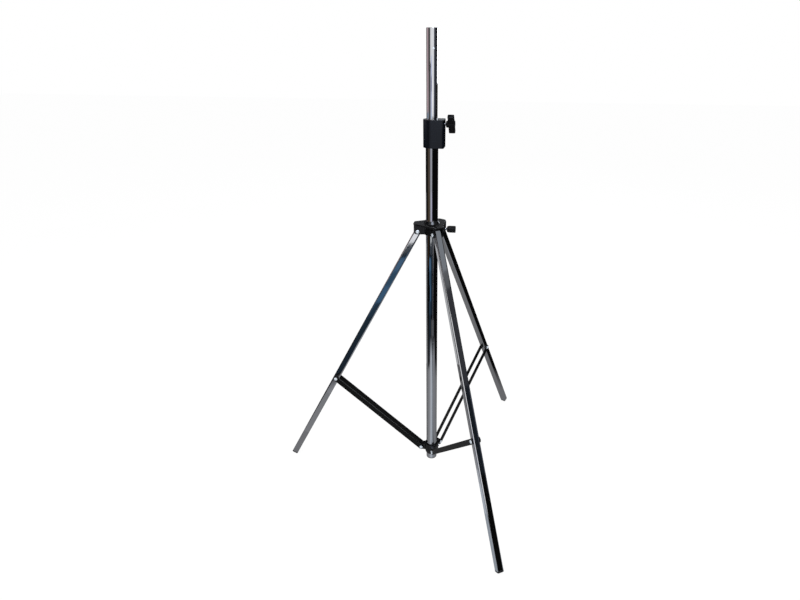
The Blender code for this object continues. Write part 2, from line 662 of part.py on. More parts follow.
def leg_tube():
    """Square leg tube hanging from its pivot at the origin."""
    half, bore = LEG_SIDE / 2, LEG_SIDE / 2 - LEG_WALL
    inner_corner = LEG_CORNER - LEG_WALL
    top, bottom = LEG_ABOVE_PIVOT, FOOT_THICKNESS + CLEARANCE - LEG_LENGTH
    tube = loft([rounded_square(half, LEG_CORNER, bottom), rounded_square(half, LEG_CORNER, top),
                 rounded_square(bore, inner_corner, top), rounded_square(bore, inner_corner, bottom)],
                hollow=True)
    pivot = cross_pin(PIVOT_RIVET_RADIUS + CLEARANCE, half + OVERCUT)
    brace = cross_pin(BRACE_RIVET_RADIUS + CLEARANCE, half + OVERCUT, 0, -BRACE_ON_LEG)
    return cut("leg_tube", tube, pivot, brace)


def foot_plug():
    """Moulded plug in the leg's lower end, its inner edge worn flat where it rests on the floor."""
    half, end = LEG_SIDE / 2, -LEG_LENGTH
    spigot = half - LEG_WALL - CLEARANCE
    spigot_corner = LEG_CORNER - LEG_WALL
    step = end + FOOT_THICKNESS
    top = step + FOOT_SPIGOT
    plug = loft([rounded_square(half - FOOT_EDGE, LEG_CORNER - FOOT_EDGE, end),
                 rounded_square(half, LEG_CORNER, end + FOOT_EDGE), rounded_square(half, LEG_CORNER, step),
                 rounded_square(spigot, spigot_corner, step),
                 rounded_square(spigot, spigot_corner, top - EDGE),
                 rounded_square(spigot - EDGE, spigot_corner, top)])
    up = Vector((sin(LEG_ANGLE), 0, cos(LEG_ANGLE)))
    floor = up * -SPIDER_PIVOT_Z
    every = plug.verts[:] + plug.edges[:] + plug.faces[:]
    found = bmesh.ops.bisect_plane(plug, geom=every, plane_co=floor, plane_no=up, clear_inner=True)
    edges = [part for part in found["geom_cut"] if isinstance(part, bmesh.types.BMEdge)]
    bmesh.ops.edgeloop_fill(plug, edges=edges)
    bmesh.ops.recalc_face_normals(plug, faces=plug.faces)
    return to_mesh("foot_plug", plug)


def build():
    """Makes every piece under the empty of the joint that carries it."""
    for old in list(bpy.data.objects):
        bpy.data.objects.remove(old)

    column = joint("column", shift(x=column_offset()))
    piece("column_tube", column_tube(), chrome("column_chrome"), column)
    piece("column_end_plug", column_end_plug(), black_moulding("end_plug_black"), column)
    piece("bottom_hub", bottom_hub(), black_moulding("hub_black"), column, shift(z=HUB_PIVOT_Z))
    piece("hub_fixing_screw", screw(COLUMN_BORE, HUB_RADIUS), rivet_steel("hub_screw_steel"), column,
          shift(z=HUB_PIVOT_Z + HUB_SCREW_HEIGHT) @ ALONG_X)

    piece("clamp_collar", clamp_collar(), black_moulding("collar_black"), column, shift(z=COLLAR_BOTTOM_Z))
    piece("collar_fixing_screw", screw(COLUMN_BORE, COLLAR_RADIUS), rivet_steel("collar_screw_steel"), column,
          shift(z=COLLAR_BOTTOM_Z + COLLAR_SCREW_HEIGHT) @ ALONG_Y)
    riser_bore = RISER_RADIUS + CLEARANCE
    piece("clamp_insert", threaded_insert(riser_bore), brass("clamp_insert_brass"), column, shift(z=CLAMP_Z))
    piece("clamp_pad", pressure_pad(riser_bore), black_moulding("clamp_pad_black"), column, shift(z=CLAMP_Z))
    clamp = joint("clamp_knob_turn", shift(z=CLAMP_Z) @ turn(WING_TURN, "X"), column)
    wing = COLLAR_REACH + CLAMP_STUD_SHOWN
    piece("clamp_stud", lock_stud(riser_bore, wing), rivet_steel("clamp_stud_steel"), clamp)
    piece("clamp_knob", wing_knob(), black_moulding("clamp_knob_black"), clamp, shift(x=wing))

    riser = joint("riser_slide", Matrix.Identity(4), column)
    piece("riser_tube", riser_tube(), chrome("riser_chrome"), riser)
    piece("riser_top_plug", riser_top_plug(), black_moulding("top_plug_black"), riser)
    piece("plug_rivet", plug_rivet(), rivet_steel("plug_rivet_steel"), riser)
    piece("riser_guide_plug", riser_guide_plug(), black_moulding("guide_plug_black"), riser)

    spider = joint("spider_slide", shift(z=SPIDER_PIVOT_Z), column)
    spider_bore = COLUMN_RADIUS + CLEARANCE
    knob_height = shift(z=SPIDER_KNOB_HEIGHT)
    piece("spider_collar", spider_collar(), black_moulding("spider_black"), spider)
    piece("spider_insert", threaded_insert(spider_bore), brass("spider_insert_brass"), spider, knob_height)
    piece("spider_pad", pressure_pad(spider_bore), black_moulding("spider_pad_black"), spider, knob_height)
    lock = joint("spider_knob_turn", knob_height, spider)
    grip = SPIDER_BOSS_REACH + SPIDER_STUD_SHOWN
    piece("spider_stud", lock_stud(spider_bore, grip), rivet_steel("spider_stud_steel"), lock)
    piece("spider_knob", round_knob(), black_moulding("spider_knob_black"), lock, shift(x=grip))

    tube, foot, bar = leg_tube(), foot_plug(), brace_bar()
    for leg, azimuth in LEGS.items():
        spider_pivot = turn(azimuth, "Z") @ shift(x=SPIDER_PIVOT_RADIUS)
        pivot = rivet(PIVOT_RIVET_RADIUS, EAR_OUTER)
        piece("leg_pivot_rivet_" + leg, pivot, rivet_steel("pivot_rivet_" + leg), spider, spider_pivot)
        fold = joint("leg_fold_" + leg, spider_pivot @ turn(-LEG_ANGLE, "Y"), spider)
        piece("leg_tube_" + leg, tube.copy(), chrome("leg_chrome_" + leg), fold)
        piece("foot_plug_" + leg, foot.copy(), black_moulding("foot_black_" + leg), fold)

        hub_pivot = turn(azimuth, "Z") @ shift(x=HUB_PIVOT_RADIUS, z=HUB_PIVOT_Z)
        pivot = rivet(BRACE_RIVET_RADIUS, BAR_OUTER)
        piece("hub_rivet_" + leg, pivot, rivet_steel("hub_rivet_" + leg), column, hub_pivot)
        swing = joint("brace_fold_" + leg, hub_pivot @ turn(brace_angle(LEG_ANGLE), "Y"), column)
        for side, sign in (("_a", 1), ("_b", -1)):
            beside = shift(y=sign * (BAR_INNER + BRACE_THICKNESS / 2))
            end = half_rivet(BRACE_RIVET_RADIUS, BAR_INNER, BAR_OUTER, sign)
            name = leg + side
            piece("brace_bar_" + name, bar.copy(), black_paint("brace_black_" + name), swing, beside)
            piece("brace_rivet_" + name, end, rivet_steel("rivet_steel_" + name), swing,
                  shift(z=BRACE_LENGTH))


build()
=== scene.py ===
"""Light stand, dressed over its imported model: camera, studio, and one section for each piece or group of pieces."""

import json
from math import acos, atan2, cos, pi, radians, sin, tan

import bpy
import numpy as np
from mathutils import Matrix, Vector


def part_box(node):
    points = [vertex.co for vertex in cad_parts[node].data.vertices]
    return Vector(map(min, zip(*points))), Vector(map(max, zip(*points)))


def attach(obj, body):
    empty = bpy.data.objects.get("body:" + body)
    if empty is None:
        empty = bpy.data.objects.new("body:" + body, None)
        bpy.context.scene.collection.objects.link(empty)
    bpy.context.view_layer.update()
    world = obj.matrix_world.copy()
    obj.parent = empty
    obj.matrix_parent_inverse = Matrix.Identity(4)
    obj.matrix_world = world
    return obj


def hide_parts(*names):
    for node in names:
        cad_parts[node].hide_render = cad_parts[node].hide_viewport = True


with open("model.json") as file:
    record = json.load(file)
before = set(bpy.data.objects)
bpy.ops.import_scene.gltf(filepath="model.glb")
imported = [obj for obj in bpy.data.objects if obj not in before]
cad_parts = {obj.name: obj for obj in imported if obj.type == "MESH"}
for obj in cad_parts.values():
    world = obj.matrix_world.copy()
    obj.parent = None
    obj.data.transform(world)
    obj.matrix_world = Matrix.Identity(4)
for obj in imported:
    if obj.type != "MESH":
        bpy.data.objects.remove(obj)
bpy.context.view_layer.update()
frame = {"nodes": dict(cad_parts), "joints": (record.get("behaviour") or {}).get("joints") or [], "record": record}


# Camera. It stands a little right of the column and a little lower than the riser's top, and looks down at the
# stand. Its place and lens were worked out from the column, the legs and the feet.
CAMERA_FROM_COLUMN = Vector((0.2064, -1.5941, 0.0))
CAMERA_HEIGHT = 1.3545
CAMERA_PAN = radians(6.855)
CAMERA_DOWN = radians(24.20)
CAMERA_ROLL = radians(0.30)
IMAGE_WIDTH = 800
FOCAL_PIXELS = 571.3
CENTRE_PIXEL = 436.5
SENSOR = 36.0


def put(name, data):
    """New object, linked to the scene."""
    thing = bpy.data.objects.new(name, data)
    scene.collection.objects.link(thing)
    return thing


scene = bpy.context.scene
column_low, column_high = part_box("column_tube")
stand_axis = Vector(((column_low.x + column_high.x) / 2, (column_low.y + column_high.y) / 2, 0.0))

lens = bpy.data.cameras.new("camera")
lens.sensor_width = SENSOR
lens.lens = FOCAL_PIXELS / IMAGE_WIDTH * SENSOR
lens.shift_x = (IMAGE_WIDTH / 2 - CENTRE_PIXEL) / IMAGE_WIDTH
camera = put("camera", lens)
camera.matrix_world = (Matrix.Translation(stand_axis + CAMERA_FROM_COLUMN + Vector((0, 0, CAMERA_HEIGHT)))
                       @ Matrix.Rotation(CAMERA_PAN, 4, "Z") @ Matrix.Rotation(pi / 2 - CAMERA_DOWN, 4, "X")
                       @ Matrix.Rotation(CAMERA_ROLL, 4, "Z"))
scene.camera = camera
scene.view_settings.view_transform = "Standard"


# Floor and backdrop. One pale sheet goes on past the frame on every side, lit by the lamps where it carries the
# stand's shadow and white wherever the camera or a polished surface looks at it.
FLOOR_HALF = 14.0
FLOOR_BELOW = 0.0005
FLOOR_COLOUR = (0.90, 0.90, 0.90)
FLOOR_WHITE = 0.90            # share of plain white over the lit floor
WHITE_STRENGTH = 1.03
WORLD_LIGHT = 0.65


class Wire:
    """A value on its way between shader nodes. Python's operators on it add Math nodes."""

    def __init__(self, finish, socket):
        self.finish, self.socket = finish, socket

    def maths(self, operation, first, second):
        return self.finish.node("ShaderNodeMath", {"operation": operation}, {0: first, 1: second})

    def __add__(self, other):
        return self.maths("ADD", self, other)

    def __sub__(self, other):
        return self.maths("SUBTRACT", self, other)

    def __mul__(self, other):
        return self.maths("MULTIPLY", self, other)

    def __rsub__(self, other):
        return self.maths("SUBTRACT", other, self)

    __radd__ = __add__


class Finish:
    """A material under way: node() adds any node, and feed() drives a socket of the Principled shader."""

    def __init__(self, name, colour=(0.8, 0.8, 0.8), roughness=0.5, metallic=0.0, **constants):
        self.material = bpy.data.materials.new(name)
        self.material.use_nodes = True
        self.tree = self.material.node_tree
        self.shader = self.tree.nodes["Principled BSDF"]
        self.output = self.tree.nodes["Material Output"]
        self.shader.inputs["Base Color"].default_value = (*colour, 1.0)
        self.shader.inputs["Roughness"].default_value = roughness
        self.shader.inputs["Metallic"].default_value = metallic
        for socket, value in constants.items():
            self.shader.inputs[socket.replace("_", " ")].default_value = value
        self.material.diffuse_color = (*colour, 1.0)

    def node(self, kind, settings=None, sockets=None, output=0):
        """Adds a node: its settings first, then the values or wires of its sockets. Returns one output as a Wire."""
        new = self.tree.nodes.new(kind)
        for name, value in (settings or {}).items():
            setattr(new, name, value)
        for name, value in (sockets or {}).items():
            if isinstance(value, Wire):
                self.tree.links.new(value.socket, new.inputs[name])
            else:
                new.inputs[name].default_value = value
        return Wire(self, new.outputs[output])

    def feed(self, socket, wire):
        self.tree.links.new(wire.socket, self.shader.inputs[socket])

    def surface(self, wire):
        self.tree.links.new(wire.socket, self.output.inputs["Surface"])

    def noise(self, scale, detail=2.0, where=None):
        """Noise from 0 to 1 over the piece, in features of 1 / scale metres, or over a vector of its own."""
        where = where or self.node("ShaderNodeTexCoord", output="Object")
        return self.node("ShaderNodeTexNoise", {}, {"Vector": where, "Scale": scale, "Detail": detail})

    def blend(self, factor, first, second):
        """Colour between two others, by a factor from 0 to 1."""
        return self.node("ShaderNodeMix", {"data_type": "RGBA"}, {0: factor, 6: first, 7: second}, output=2)

    def attribute(self, name):
        """Number kept on the mesh's points."""
        return self.node("ShaderNodeAttribute", {"attribute_name": name}, output="Fac")

    def bump(self, height, strength, distance):
        self.feed("Normal", self.node("ShaderNodeBump", {}, {"Strength": strength, "Distance": distance,
                                                             "Height": height}))

    def seen_directly(self):
        """1 where a camera, glossy or transmission ray looks, and 0 for light that bounces."""
        rays = [self.node("ShaderNodeLightPath", output=name)
                for name in ("Is Camera Ray", "Is Glossy Ray", "Is Transmission Ray")]
        return self.node("ShaderNodeClamp", {}, {"Value": rays[0] + rays[1] + rays[2]})


class Surround(Finish):
    """The world's nodes, wired like a material's."""

    def __init__(self, world):
        world.use_nodes = True
        self.tree = world.node_tree
        self.output = self.tree.nodes["World Output"]


floor_mesh = bpy.data.meshes.new("floor")
floor_corners = [(x * FLOOR_HALF, y * FLOOR_HALF, -FLOOR_BELOW) for x, y in ((-1, -1), (1, -1), (1, 1), (-1, 1))]
floor_mesh.from_pydata(floor_corners, [], [(0, 1, 2, 3)])
floor = put("floor", floor_mesh)
paper = Finish("floor_paper", FLOOR_COLOUR, 0.9)
white = paper.node("ShaderNodeEmission", {}, {"Color": (1, 1, 1, 1), "Strength": WHITE_STRENGTH})
lit = Wire(paper, paper.shader.outputs[0])
paper.surface(paper.node("ShaderNodeMixShader", {}, {0: paper.seen_directly() * FLOOR_WHITE, 1: lit, 2: white}))
floor_mesh.materials.append(paper.material)

scene.world = bpy.data.worlds.new("studio")
sky = Surround(scene.world)
direct = sky.seen_directly()
sky.surface(sky.node("ShaderNodeBackground", {}, {"Color": (1, 1, 1, 1),
                                                  "Strength": direct + (1 - direct) * WORLD_LIGHT}))


# Lamps. A large soft key stands front left, a weaker fill front right, and a third behind, all high and turned to
# the middle of the stand. Polished surfaces don't see them.
STAND_MIDDLE = stand_axis + Vector((0, 0, 0.65))
LAMPS = {                     # place from the stand's axis, width and power in watts
    "key": ((-2.2, -2.6, 3.2), 2.6, 80.0),
    "fill": ((2.6, -1.6, 2.4), 2.4, 35.0),
    "back": ((0.4, 2.6, 3.4), 2.2, 40.0)}

for lamp_name, (place, width, power) in LAMPS.items():
    lamp = bpy.data.lights.new(lamp_name, "AREA")
    lamp.shape, lamp.size, lamp.energy = "SQUARE", width, power
    holder = put(lamp_name, lamp)
    holder.location = stand_axis + Vector(place)
    holder.rotation_euler = (holder.location - STAND_MIDDLE).to_track_quat("Z", "Y").to_euler()
    holder.visible_glossy = False


# Reflecting cards. Bright metal shows the studio round it: a pool of light on a grey table with a dark room beyond,
# a pale sweep at the left and a window in front. Only polished surfaces see the cards.
TOWARDS_CAMERA = atan2(CAMERA_FROM_COLUMN.y, CAMERA_FROM_COLUMN.x)
ROOM = 4.0                    # radius
ROOM_TOP = 4.4
DARK_WALL = 1.02 * ROOM       # stands behind the cards
DARK = (0.003, 0.003, 0.003)
ALL_ROUND = (-180, 180)
CARD_STEP = radians(4)
CARD_HEIGHT = 0.0004          # of a card on the floor, over the dark card under it
POOL_ROWS = 24


def card(name, colour, left, right, rows, fades_from=None):
    """Card between two bearings in degrees from the camera, right being positive, over rows of (distance from the
    column, height). It glows by itself, and fades out from a distance to its last row."""
    steps = max(2, int(radians(right - left) / CARD_STEP))
    bearing = TOWARDS_CAMERA + np.radians(np.linspace(left, right, steps))
    radius, height = np.asarray(rows, float).T[:, :, None]
    points = np.stack([radius * np.cos(bearing), radius * np.sin(bearing), height + 0 * bearing], -1).reshape(-1, 3)
    level = np.ones(len(points))
    if fades_from:
        level = np.interp(np.linalg.norm(points[:, :2], axis=-1), (fades_from, rows[-1][0]), (1, 0))
    quads = [(steps * r + i, steps * r + i + 1, steps * (r + 1) + i + 1, steps * (r + 1) + i)
             for r in range(len(rows) - 1) for i in range(steps - 1)]
    mesh = bpy.data.meshes.new(name)
    mesh.from_pydata((points + np.array(stand_axis)).tolist(), [], quads)
    mesh.attributes.new("level", "FLOAT", "POINT").data.foreach_set("value", level.astype(np.float32))
    glow = Finish(name)
    glow.surface(glow.node("ShaderNodeEmission", {}, {"Color": (*colour, 1.0), "Strength": glow.attribute("level")}))
    mesh.materials.append(glow.material)
    thing = put(name, mesh)
    thing.visible_camera = thing.visible_diffuse = thing.visible_shadow = False
    thing.visible_transmission = thing.visible_volume_scatter = False


def overhead(low, high, steps=6):
    """Rows of a card on the room's dome, between two heights in degrees over the column's middle."""
    rise = np.radians(np.linspace(low, high, steps))
    return np.stack([ROOM * np.cos(rise), STAND_MIDDLE.z + ROOM * np.sin(rise)], -1)


POOL_CARDS = [                # bearings, then the distances where it starts to fade and where it ends
    ("pool_far_left", (0.175, 0.175, 0.177), -180, -112, 0.60, 0.85),
    ("pool_left", (0.19, 0.19, 0.195), -112, -82, 0.60, 1.30),
    ("pool_left_front", (0.22, 0.223, 0.23), -82, -58, 0.66, 0.70),
    ("pool_front_left", (0.255, 0.26, 0.272), -58, -36, 0.66, 0.74),
    ("pool_front", (0.37, 0.385, 0.41), -36, -16, 0.76, 1.00),
    ("pool_front_right", (0.44, 0.475, 0.52), -16, 6, 0.78, 1.00),
    ("pool_right_front", (0.30, 0.33, 0.36), 6, 24, 0.55, 0.90),
    ("pool_right", (0.22, 0.225, 0.24), 24, 67, 0.78, 1.00),
    ("pool_far_right", (0.185, 0.19, 0.195), 67, 112, 0.58, 0.76),
    ("pool_back", (0.165, 0.165, 0.168), 112, 180, 0.55, 0.72)]
FLOOR_CARDS = [               # bearings, then the nearest and the farthest distance
    ("sweep_left", (0.45, 0.455, 0.46), -144, -120, 0.70, 2.45),
    ("sweep_far", (0.18, 0.185, 0.20), -144, -120, 2.45, ROOM),
    ("apron", (0.066, 0.068, 0.072), -14, 46, 0.99, 1.18),
    ("teal_shadow", (0.012, 0.020, 0.030), -58, -36, 0.75, 1.24),
    ("teal_front", (0.014, 0.024, 0.035), -36, -14, 1.00, 1.24),
    ("teal_middle", (0.012, 0.022, 0.036), -14, 5, 1.24, 2.44),
    ("teal_far", (0.018, 0.036, 0.058), -58, -14, 1.24, 1.42),
    ("blue_shadow", (0.045, 0.105, 0.185), -36, -14, 1.42, 1.66),
    ("blue_fold", (0.032, 0.072, 0.118), -48, -14, 1.66, 1.90),
    ("blue_far", (0.058, 0.122, 0.205), -52, -14, 1.90, 2.15),
    ("grey_far", (0.048, 0.056, 0.066), -36, 4, 2.22, 2.46),
    ("window_foot", (0.86, 0.865, 0.88), -22, -12, 2.46, 2.85),
    ("window_foot_left", (0.11, 0.125, 0.125), -36, -22, 2.44, 2.90),
    ("window_foot_right", (0.28, 0.30, 0.30), -12, 4, 2.48, 2.90),
    ("window_low_left", (0.275, 0.28, 0.295), -36, -17, 2.95, ROOM),
    ("window_low", (0.44, 0.435, 0.545), -17, 3, 2.95, ROOM),
    ("brown_shade", (0.028, 0.017, 0.010), -82, -56, 1.98, 2.95),
    ("brown_low", (0.062, 0.045, 0.029), -82, -36, 2.95, ROOM),
    ("right_far", (0.032, 0.033, 0.032), 24, 44, 1.95, 2.95)]
WALL_CARDS = [                # bearings, then heights
    ("skirt_left", (0.26, 0.265, 0.29), -36, -17, 0.0, 0.72),
    ("skirt", (0.35, 0.36, 0.39), -17, 3, 0.0, 0.72),
    ("brown_wall", (0.063, 0.048, 0.035), -82, -36, 0.0, 0.72),
    ("pane_left", (0.25, 0.26, 0.295), -42, -22, 0.72, 1.15),
    ("pane_left_top", (0.63, 0.63, 0.635), -42, -22, 1.19, 2.7),
    ("pane_lilac", (0.52, 0.55, 0.70), -22, -1, 0.76, 0.95),
    ("pane_shade", (0.28, 0.29, 0.41), -22, -1, 0.95, 1.08),
    ("pane_lilac_top", (0.58, 0.62, 0.80), -22, -1, 1.08, 1.25),
    ("pane_top", (0.835, 0.835, 0.835), -22, -1, 1.25, 2.7),
    ("pane_bright", (0.98, 0.98, 0.985), -1, 19, 0.72, 1.07),
    ("pane_middle", (0.83, 0.835, 0.84), -1, 19, 1.07, 2.7),
    ("pane_right", (0.79, 0.795, 0.80), 19, 38, 0.72, 2.7),
    ("sill", (0.53, 0.63, 0.78), -22, -1, 0.64, 0.76),
    ("blue_skirting", (0.23, 0.275, 0.33), -122, -66, 0.60, 0.765),
    ("pink_wall", (0.51, 0.39, 0.40), -122, -90, 0.765, 2.3),
    ("pink_low", (0.27, 0.21, 0.225), -90, -66, 0.765, 1.12),
    ("pink_shade", (0.155, 0.125, 0.135), -90, -66, 1.12, 2.3),
    ("dark_wall", (0.045, 0.044, 0.039), -66, -42, 0.72, 2.3),
    ("navy_wall", (0.072, 0.080, 0.108), 45.5, 61, 0.72, 1.70),
    ("back_wall", (0.15, 0.155, 0.165), 150, 235, 1.80, 2.50),
    ("right_wall", (0.026, 0.027, 0.030), 61, 88, 0.72, 2.1),
    ("far_right_wall", (0.017, 0.016, 0.016), 88, 122, 0.72, 2.1),
    ("corner_low", (0.009, 0.012, 0.016), 40, 45.5, 0.95, 1.78),
    ("corner", (0.037, 0.038, 0.043), 40, 60, 1.78, 2.87),
    ("right_cornice", (0.11, 0.115, 0.12), 40, 100, 2.87, 3.08),
    ("right_upper_wall", (0.205, 0.22, 0.238), 40, 100, 3.08, 4.6),
    ("side_window", (3.2, 3.4, 3.7), 128, 152, 1.02, 2.0),
    ("back_window", (0.62, 0.66, 0.70), 152, 235, 1.52, 1.70)]
DOME_CARDS = [                # bearings, then heights in degrees
    ("soft_box", (9.0, 10.0, 12.0), -10, 30, 42, 58),
    ("ceiling", (0.16, 0.16, 0.17), *ALL_ROUND, 60, 90)]

card("black_floor", DARK, *ALL_ROUND, [(0.0, CARD_HEIGHT / 2), (DARK_WALL, CARD_HEIGHT / 2)])
card("black_wall", DARK, *ALL_ROUND, [(DARK_WALL, 0.0), (DARK_WALL, ROOM_TOP)])
for card_name, glow_colour, left, right, fade, end in POOL_CARDS:
    card(card_name, glow_colour, left, right, [(r, CARD_HEIGHT) for r in np.linspace(0.0, end, POOL_ROWS)], fade)
for card_name, glow_colour, left, right, near, far in FLOOR_CARDS:
    card(card_name, glow_colour, left, right, [(near, 2 * CARD_HEIGHT), (far, 2 * CARD_HEIGHT)])
for card_name, glow_colour, left, right, low, high in WALL_CARDS:
    card(card_name, glow_colour, left, right, [(ROOM, low), (ROOM, high)])
for card_name, glow_colour, left, right, low, high in DOME_CARDS:
    card(card_name, glow_colour, left, right, overhead(low, high))


# Column: a drawn steel tube, 35 mm across, chrome plated. Both ends are cut square and deburred, and the drawing has
# left faint lines along it. It is closed below by a moulded plug that is pressed in.
COLUMN_WALL = 0.0015
TUBE_LIP = 0.0004
TUBE_STEPS = 96
SHARP_ANGLE = radians(32)
DRAWN_LINES = (2600, 14, 0)   # lines to a metre, round a tube and along it
STAY = Matrix.Identity(4)


def shell(grid, ring=False, worn=None, at=STAY):
    """Closed surface over points grid[row, step]. Each row is a ring of steps, anticlockwise about the way the rows
    go, so that faces point out. The last row joins the first when ring is set, and otherwise both ends get a flat
    cap. Its chart holds metres round the piece and along it, and worn holds a number for each row."""
    rows, steps = grid.shape[:2]
    index = np.arange(rows * steps).reshape(rows, steps)
    index = np.concatenate([index, index[:, :1]], 1)
    spine, belt = grid[:, 0], grid[rows // 3]
    if ring:
        index, spine = np.concatenate([index, index[:1]]), np.concatenate([spine, spine[:1]])
    along, around = [np.concatenate([[0], np.cumsum(np.linalg.norm(np.diff(line, axis=0), axis=-1))])
                     for line in (spine, np.concatenate([belt, belt[:1]]))]
    chart = np.stack(np.broadcast_arrays(around[None, :], along[:, None]), -1)
    quads, chart = [np.stack([of[:-1, :-1], of[:-1, 1:], of[1:, 1:], of[1:, :-1]], 2) for of in (index, chart)]
    caps = [] if ring else [index[0, :-1][::-1].tolist(), index[-1, :-1].tolist()]
    points = grid.reshape(-1, 3) @ np.array(at.to_3x3()).T + np.array(at.translation)
    wear = np.repeat(np.zeros(rows) if worn is None else worn, steps)
    return points, quads.reshape(-1, 4).tolist() + caps, chart.reshape(-1, 2), len(caps) * steps, wear


def turned(profile, steps=TUBE_STEPS):
    """Turned surface: radius and height of each profile point, carried round Z."""
    radius, height = np.asarray(profile, float).T[:, :, None]
    angle = (np.arange(steps) * 2 * pi / steps)[None, :]
    return np.stack([radius * np.cos(angle), radius * np.sin(angle), height + 0 * angle], -1)


def eased(corners, steps=5):
    """Outline with round corners. A corner (x, y, radius) or (x, y, radius, steps) becomes an arc that touches both
    its sides, radius over the tangent of half its angle away from it. A point further along each side keeps that
    side's shading straight."""
    points = []
    for i, (x, y, *size) in enumerate(corners):
        corner = np.array((x, y), float)
        if not size:
            points.append(corner[None])
            continue
        radius, count = size[0], size[1] if len(size) > 1 else steps
        before = np.array(corners[i - 1][:2]) - corner
        after = np.array(corners[(i + 1) % len(corners)][:2]) - corner
        back, on = before / np.linalg.norm(before), after / np.linalg.norm(after)
        half = acos(np.clip(back @ on, -1, 1)) / 2
        touch = radius / tan(half)
        spare = min(np.linalg.norm(before), np.linalg.norm(after)) / 2 - touch
        near = touch + max(0, min(radius, spare) / 2)
        centre = corner + (back + on) / np.linalg.norm(back + on) * radius / sin(half)
        start, end, sweep = corner + back * touch - centre, corner + on * touch - centre, pi - 2 * half
        share = np.linspace(0, 1, count)[:, None]
        arc = (np.sin((1 - share) * sweep) * start + np.sin(share * sweep) * end) / sin(sweep)
        points.append(np.concatenate([[corner + back * near], centre + arc, [corner + on * near]]))
    return np.concatenate(points)


def add(name, shells, finish, body, slot, *nodes):
    """Puts a piece in the scene, made of one or more shells: it rides on a body, takes a finish and stands for CAD
    nodes. Its slot is not used."""
    starts = np.cumsum([0] + [len(points) for points, *_ in shells])
    faces = [[corner + int(start) for corner in face]
             for start, (_, own_faces, *_) in zip(starts, shells) for face in own_faces]
    mesh = bpy.data.meshes.new(name)
    mesh.from_pydata(np.concatenate([points for points, *_ in shells]).tolist(), [], faces)
    charts = [part for _, _, chart, caps, _ in shells for part in (chart, np.zeros((caps, 2)))]
    mesh.uv_layers.new(name="along").data.foreach_set("uv", np.concatenate(charts).astype(np.float32).ravel())
    wear = np.concatenate([wear for *_, wear in shells]).astype(np.float32)
    mesh.attributes.new("worn", "FLOAT", "POINT").data.foreach_set("value", wear)
    mesh.shade_smooth()
    mesh.set_sharp_from_angle(angle=SHARP_ANGLE)
    mesh.materials.append(finish.material)
    thing = put(name, mesh)
    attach(thing, body)
    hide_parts(*nodes)


def chrome(name):
    """Bright chrome plate over drawn steel: almost a mirror, with fine lines along it and a few dull smudges."""
    plate = Finish(name, (0.80, 0.81, 0.84), 0.05, 1.0)
    chart = plate.node("ShaderNodeUVMap", {"uv_map": "along"})
    stretched = plate.node("ShaderNodeVectorMath", {"operation": "MULTIPLY"}, {0: chart, 1: DRAWN_LINES})
    lines = plate.noise(1.0, 3.0, stretched)
    smudges = plate.noise(22.0, 3.0)
    plate.feed("Roughness", 0.018 + smudges * 0.035 + lines * 0.025)
    plate.feed("Base Color", plate.blend(smudges, (0.74, 0.75, 0.78, 1), (0.86, 0.87, 0.90, 1)))
    plate.bump(lines, 0.02, 0.0002)
    return plate


def tube_profile(outer, wall, bottom, top):
    """Profile of a tube with deburred ends: up its outside, in over the lip, down its bore and out again."""
    inner = outer - wall
    return eased([(outer, bottom, TUBE_LIP), (outer, top, TUBE_LIP), (inner, top, TUBE_LIP),
                  (inner, bottom, TUBE_LIP)])


on_axis = Matrix.Translation(stand_axis)
column_radius = (column_high.x - column_low.x) / 2
column_profile = tube_profile(column_radius, COLUMN_WALL, column_low.z, column_high.z)
add("column_tube_plated", [shell(turned(column_profile), ring=True, at=on_axis)], chrome("column_chrome"),
    "column", "chrome_tube", "column_tube")


# Riser: a 30 mm steel tube, drawn, cut and plated like the column. It slides in the column, and stands on its end
# plug when it is down.
RISER_WALL = 0.0015

riser_low, riser_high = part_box("riser_tube")
riser_radius = (riser_high.x - riser_low.x) / 2
riser_profile = tube_profile(riser_radius, RISER_WALL, riser_low.z, riser_high.z)
add("riser_tube_plated", [shell(turned(riser_profile), ring=True, at=on_axis)], chrome("riser_chrome"),
    "riser", "chrome_tube", "riser_tube")


# Legs: three 20 mm square tubes with rounded corners, chrome plated, hung from rivets in the spider collar. Each is
# drilled for its rivets.
LEG_CORNER = 0.0030
LEG_INNER_CORNER = 0.0012
LEG_WALL = 0.0012
LEGS = ("left", "front", "back")
joints = {joint["name"]: joint for joint in frame["joints"]}


def span(node, place, axis):
    """How far a CAD node reaches from a matrix's origin along one of its axes: its least and greatest distance."""
    points = np.array([vertex.co for vertex in frame["nodes"][node].data.vertices])
    distance = (points - np.array(place.translation)) @ np.array(place.col[axis][:3])
    return distance.min(), distance.max()


def middle(*nodes):
    """Mean of the middles of some CAD nodes' boxes."""
    return sum((sum(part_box(node), Vector()) / 2 for node in nodes), Vector()) / len(nodes)


def hung(joint, towards):
    """Matrix at a joint: origin on its axis, Y along the axis, and Z square to it towards a point."""
    pivot = Vector(joints[joint]["pos_m"])
    across = Vector(joints[joint]["axis"]).normalized()
    up = towards - pivot
    up = (up - across * up.dot(across)).normalized()
    return Matrix.Translation(pivot) @ Matrix((across.cross(up), across, up)).transposed().to_4x4()


def rounded_square(half, corner):
    """Points round a square with round corners."""
    return eased([(x * half, y * half, corner) for x, y in ((1, -1), (1, 1), (-1, 1), (-1, -1))], steps=8)


def carried(outlines, heights):
    """Grid of outlines, one to a height."""
    return np.stack([np.concatenate([o, np.full((len(o), 1), z)], -1) for o, z in zip(outlines, heights)])


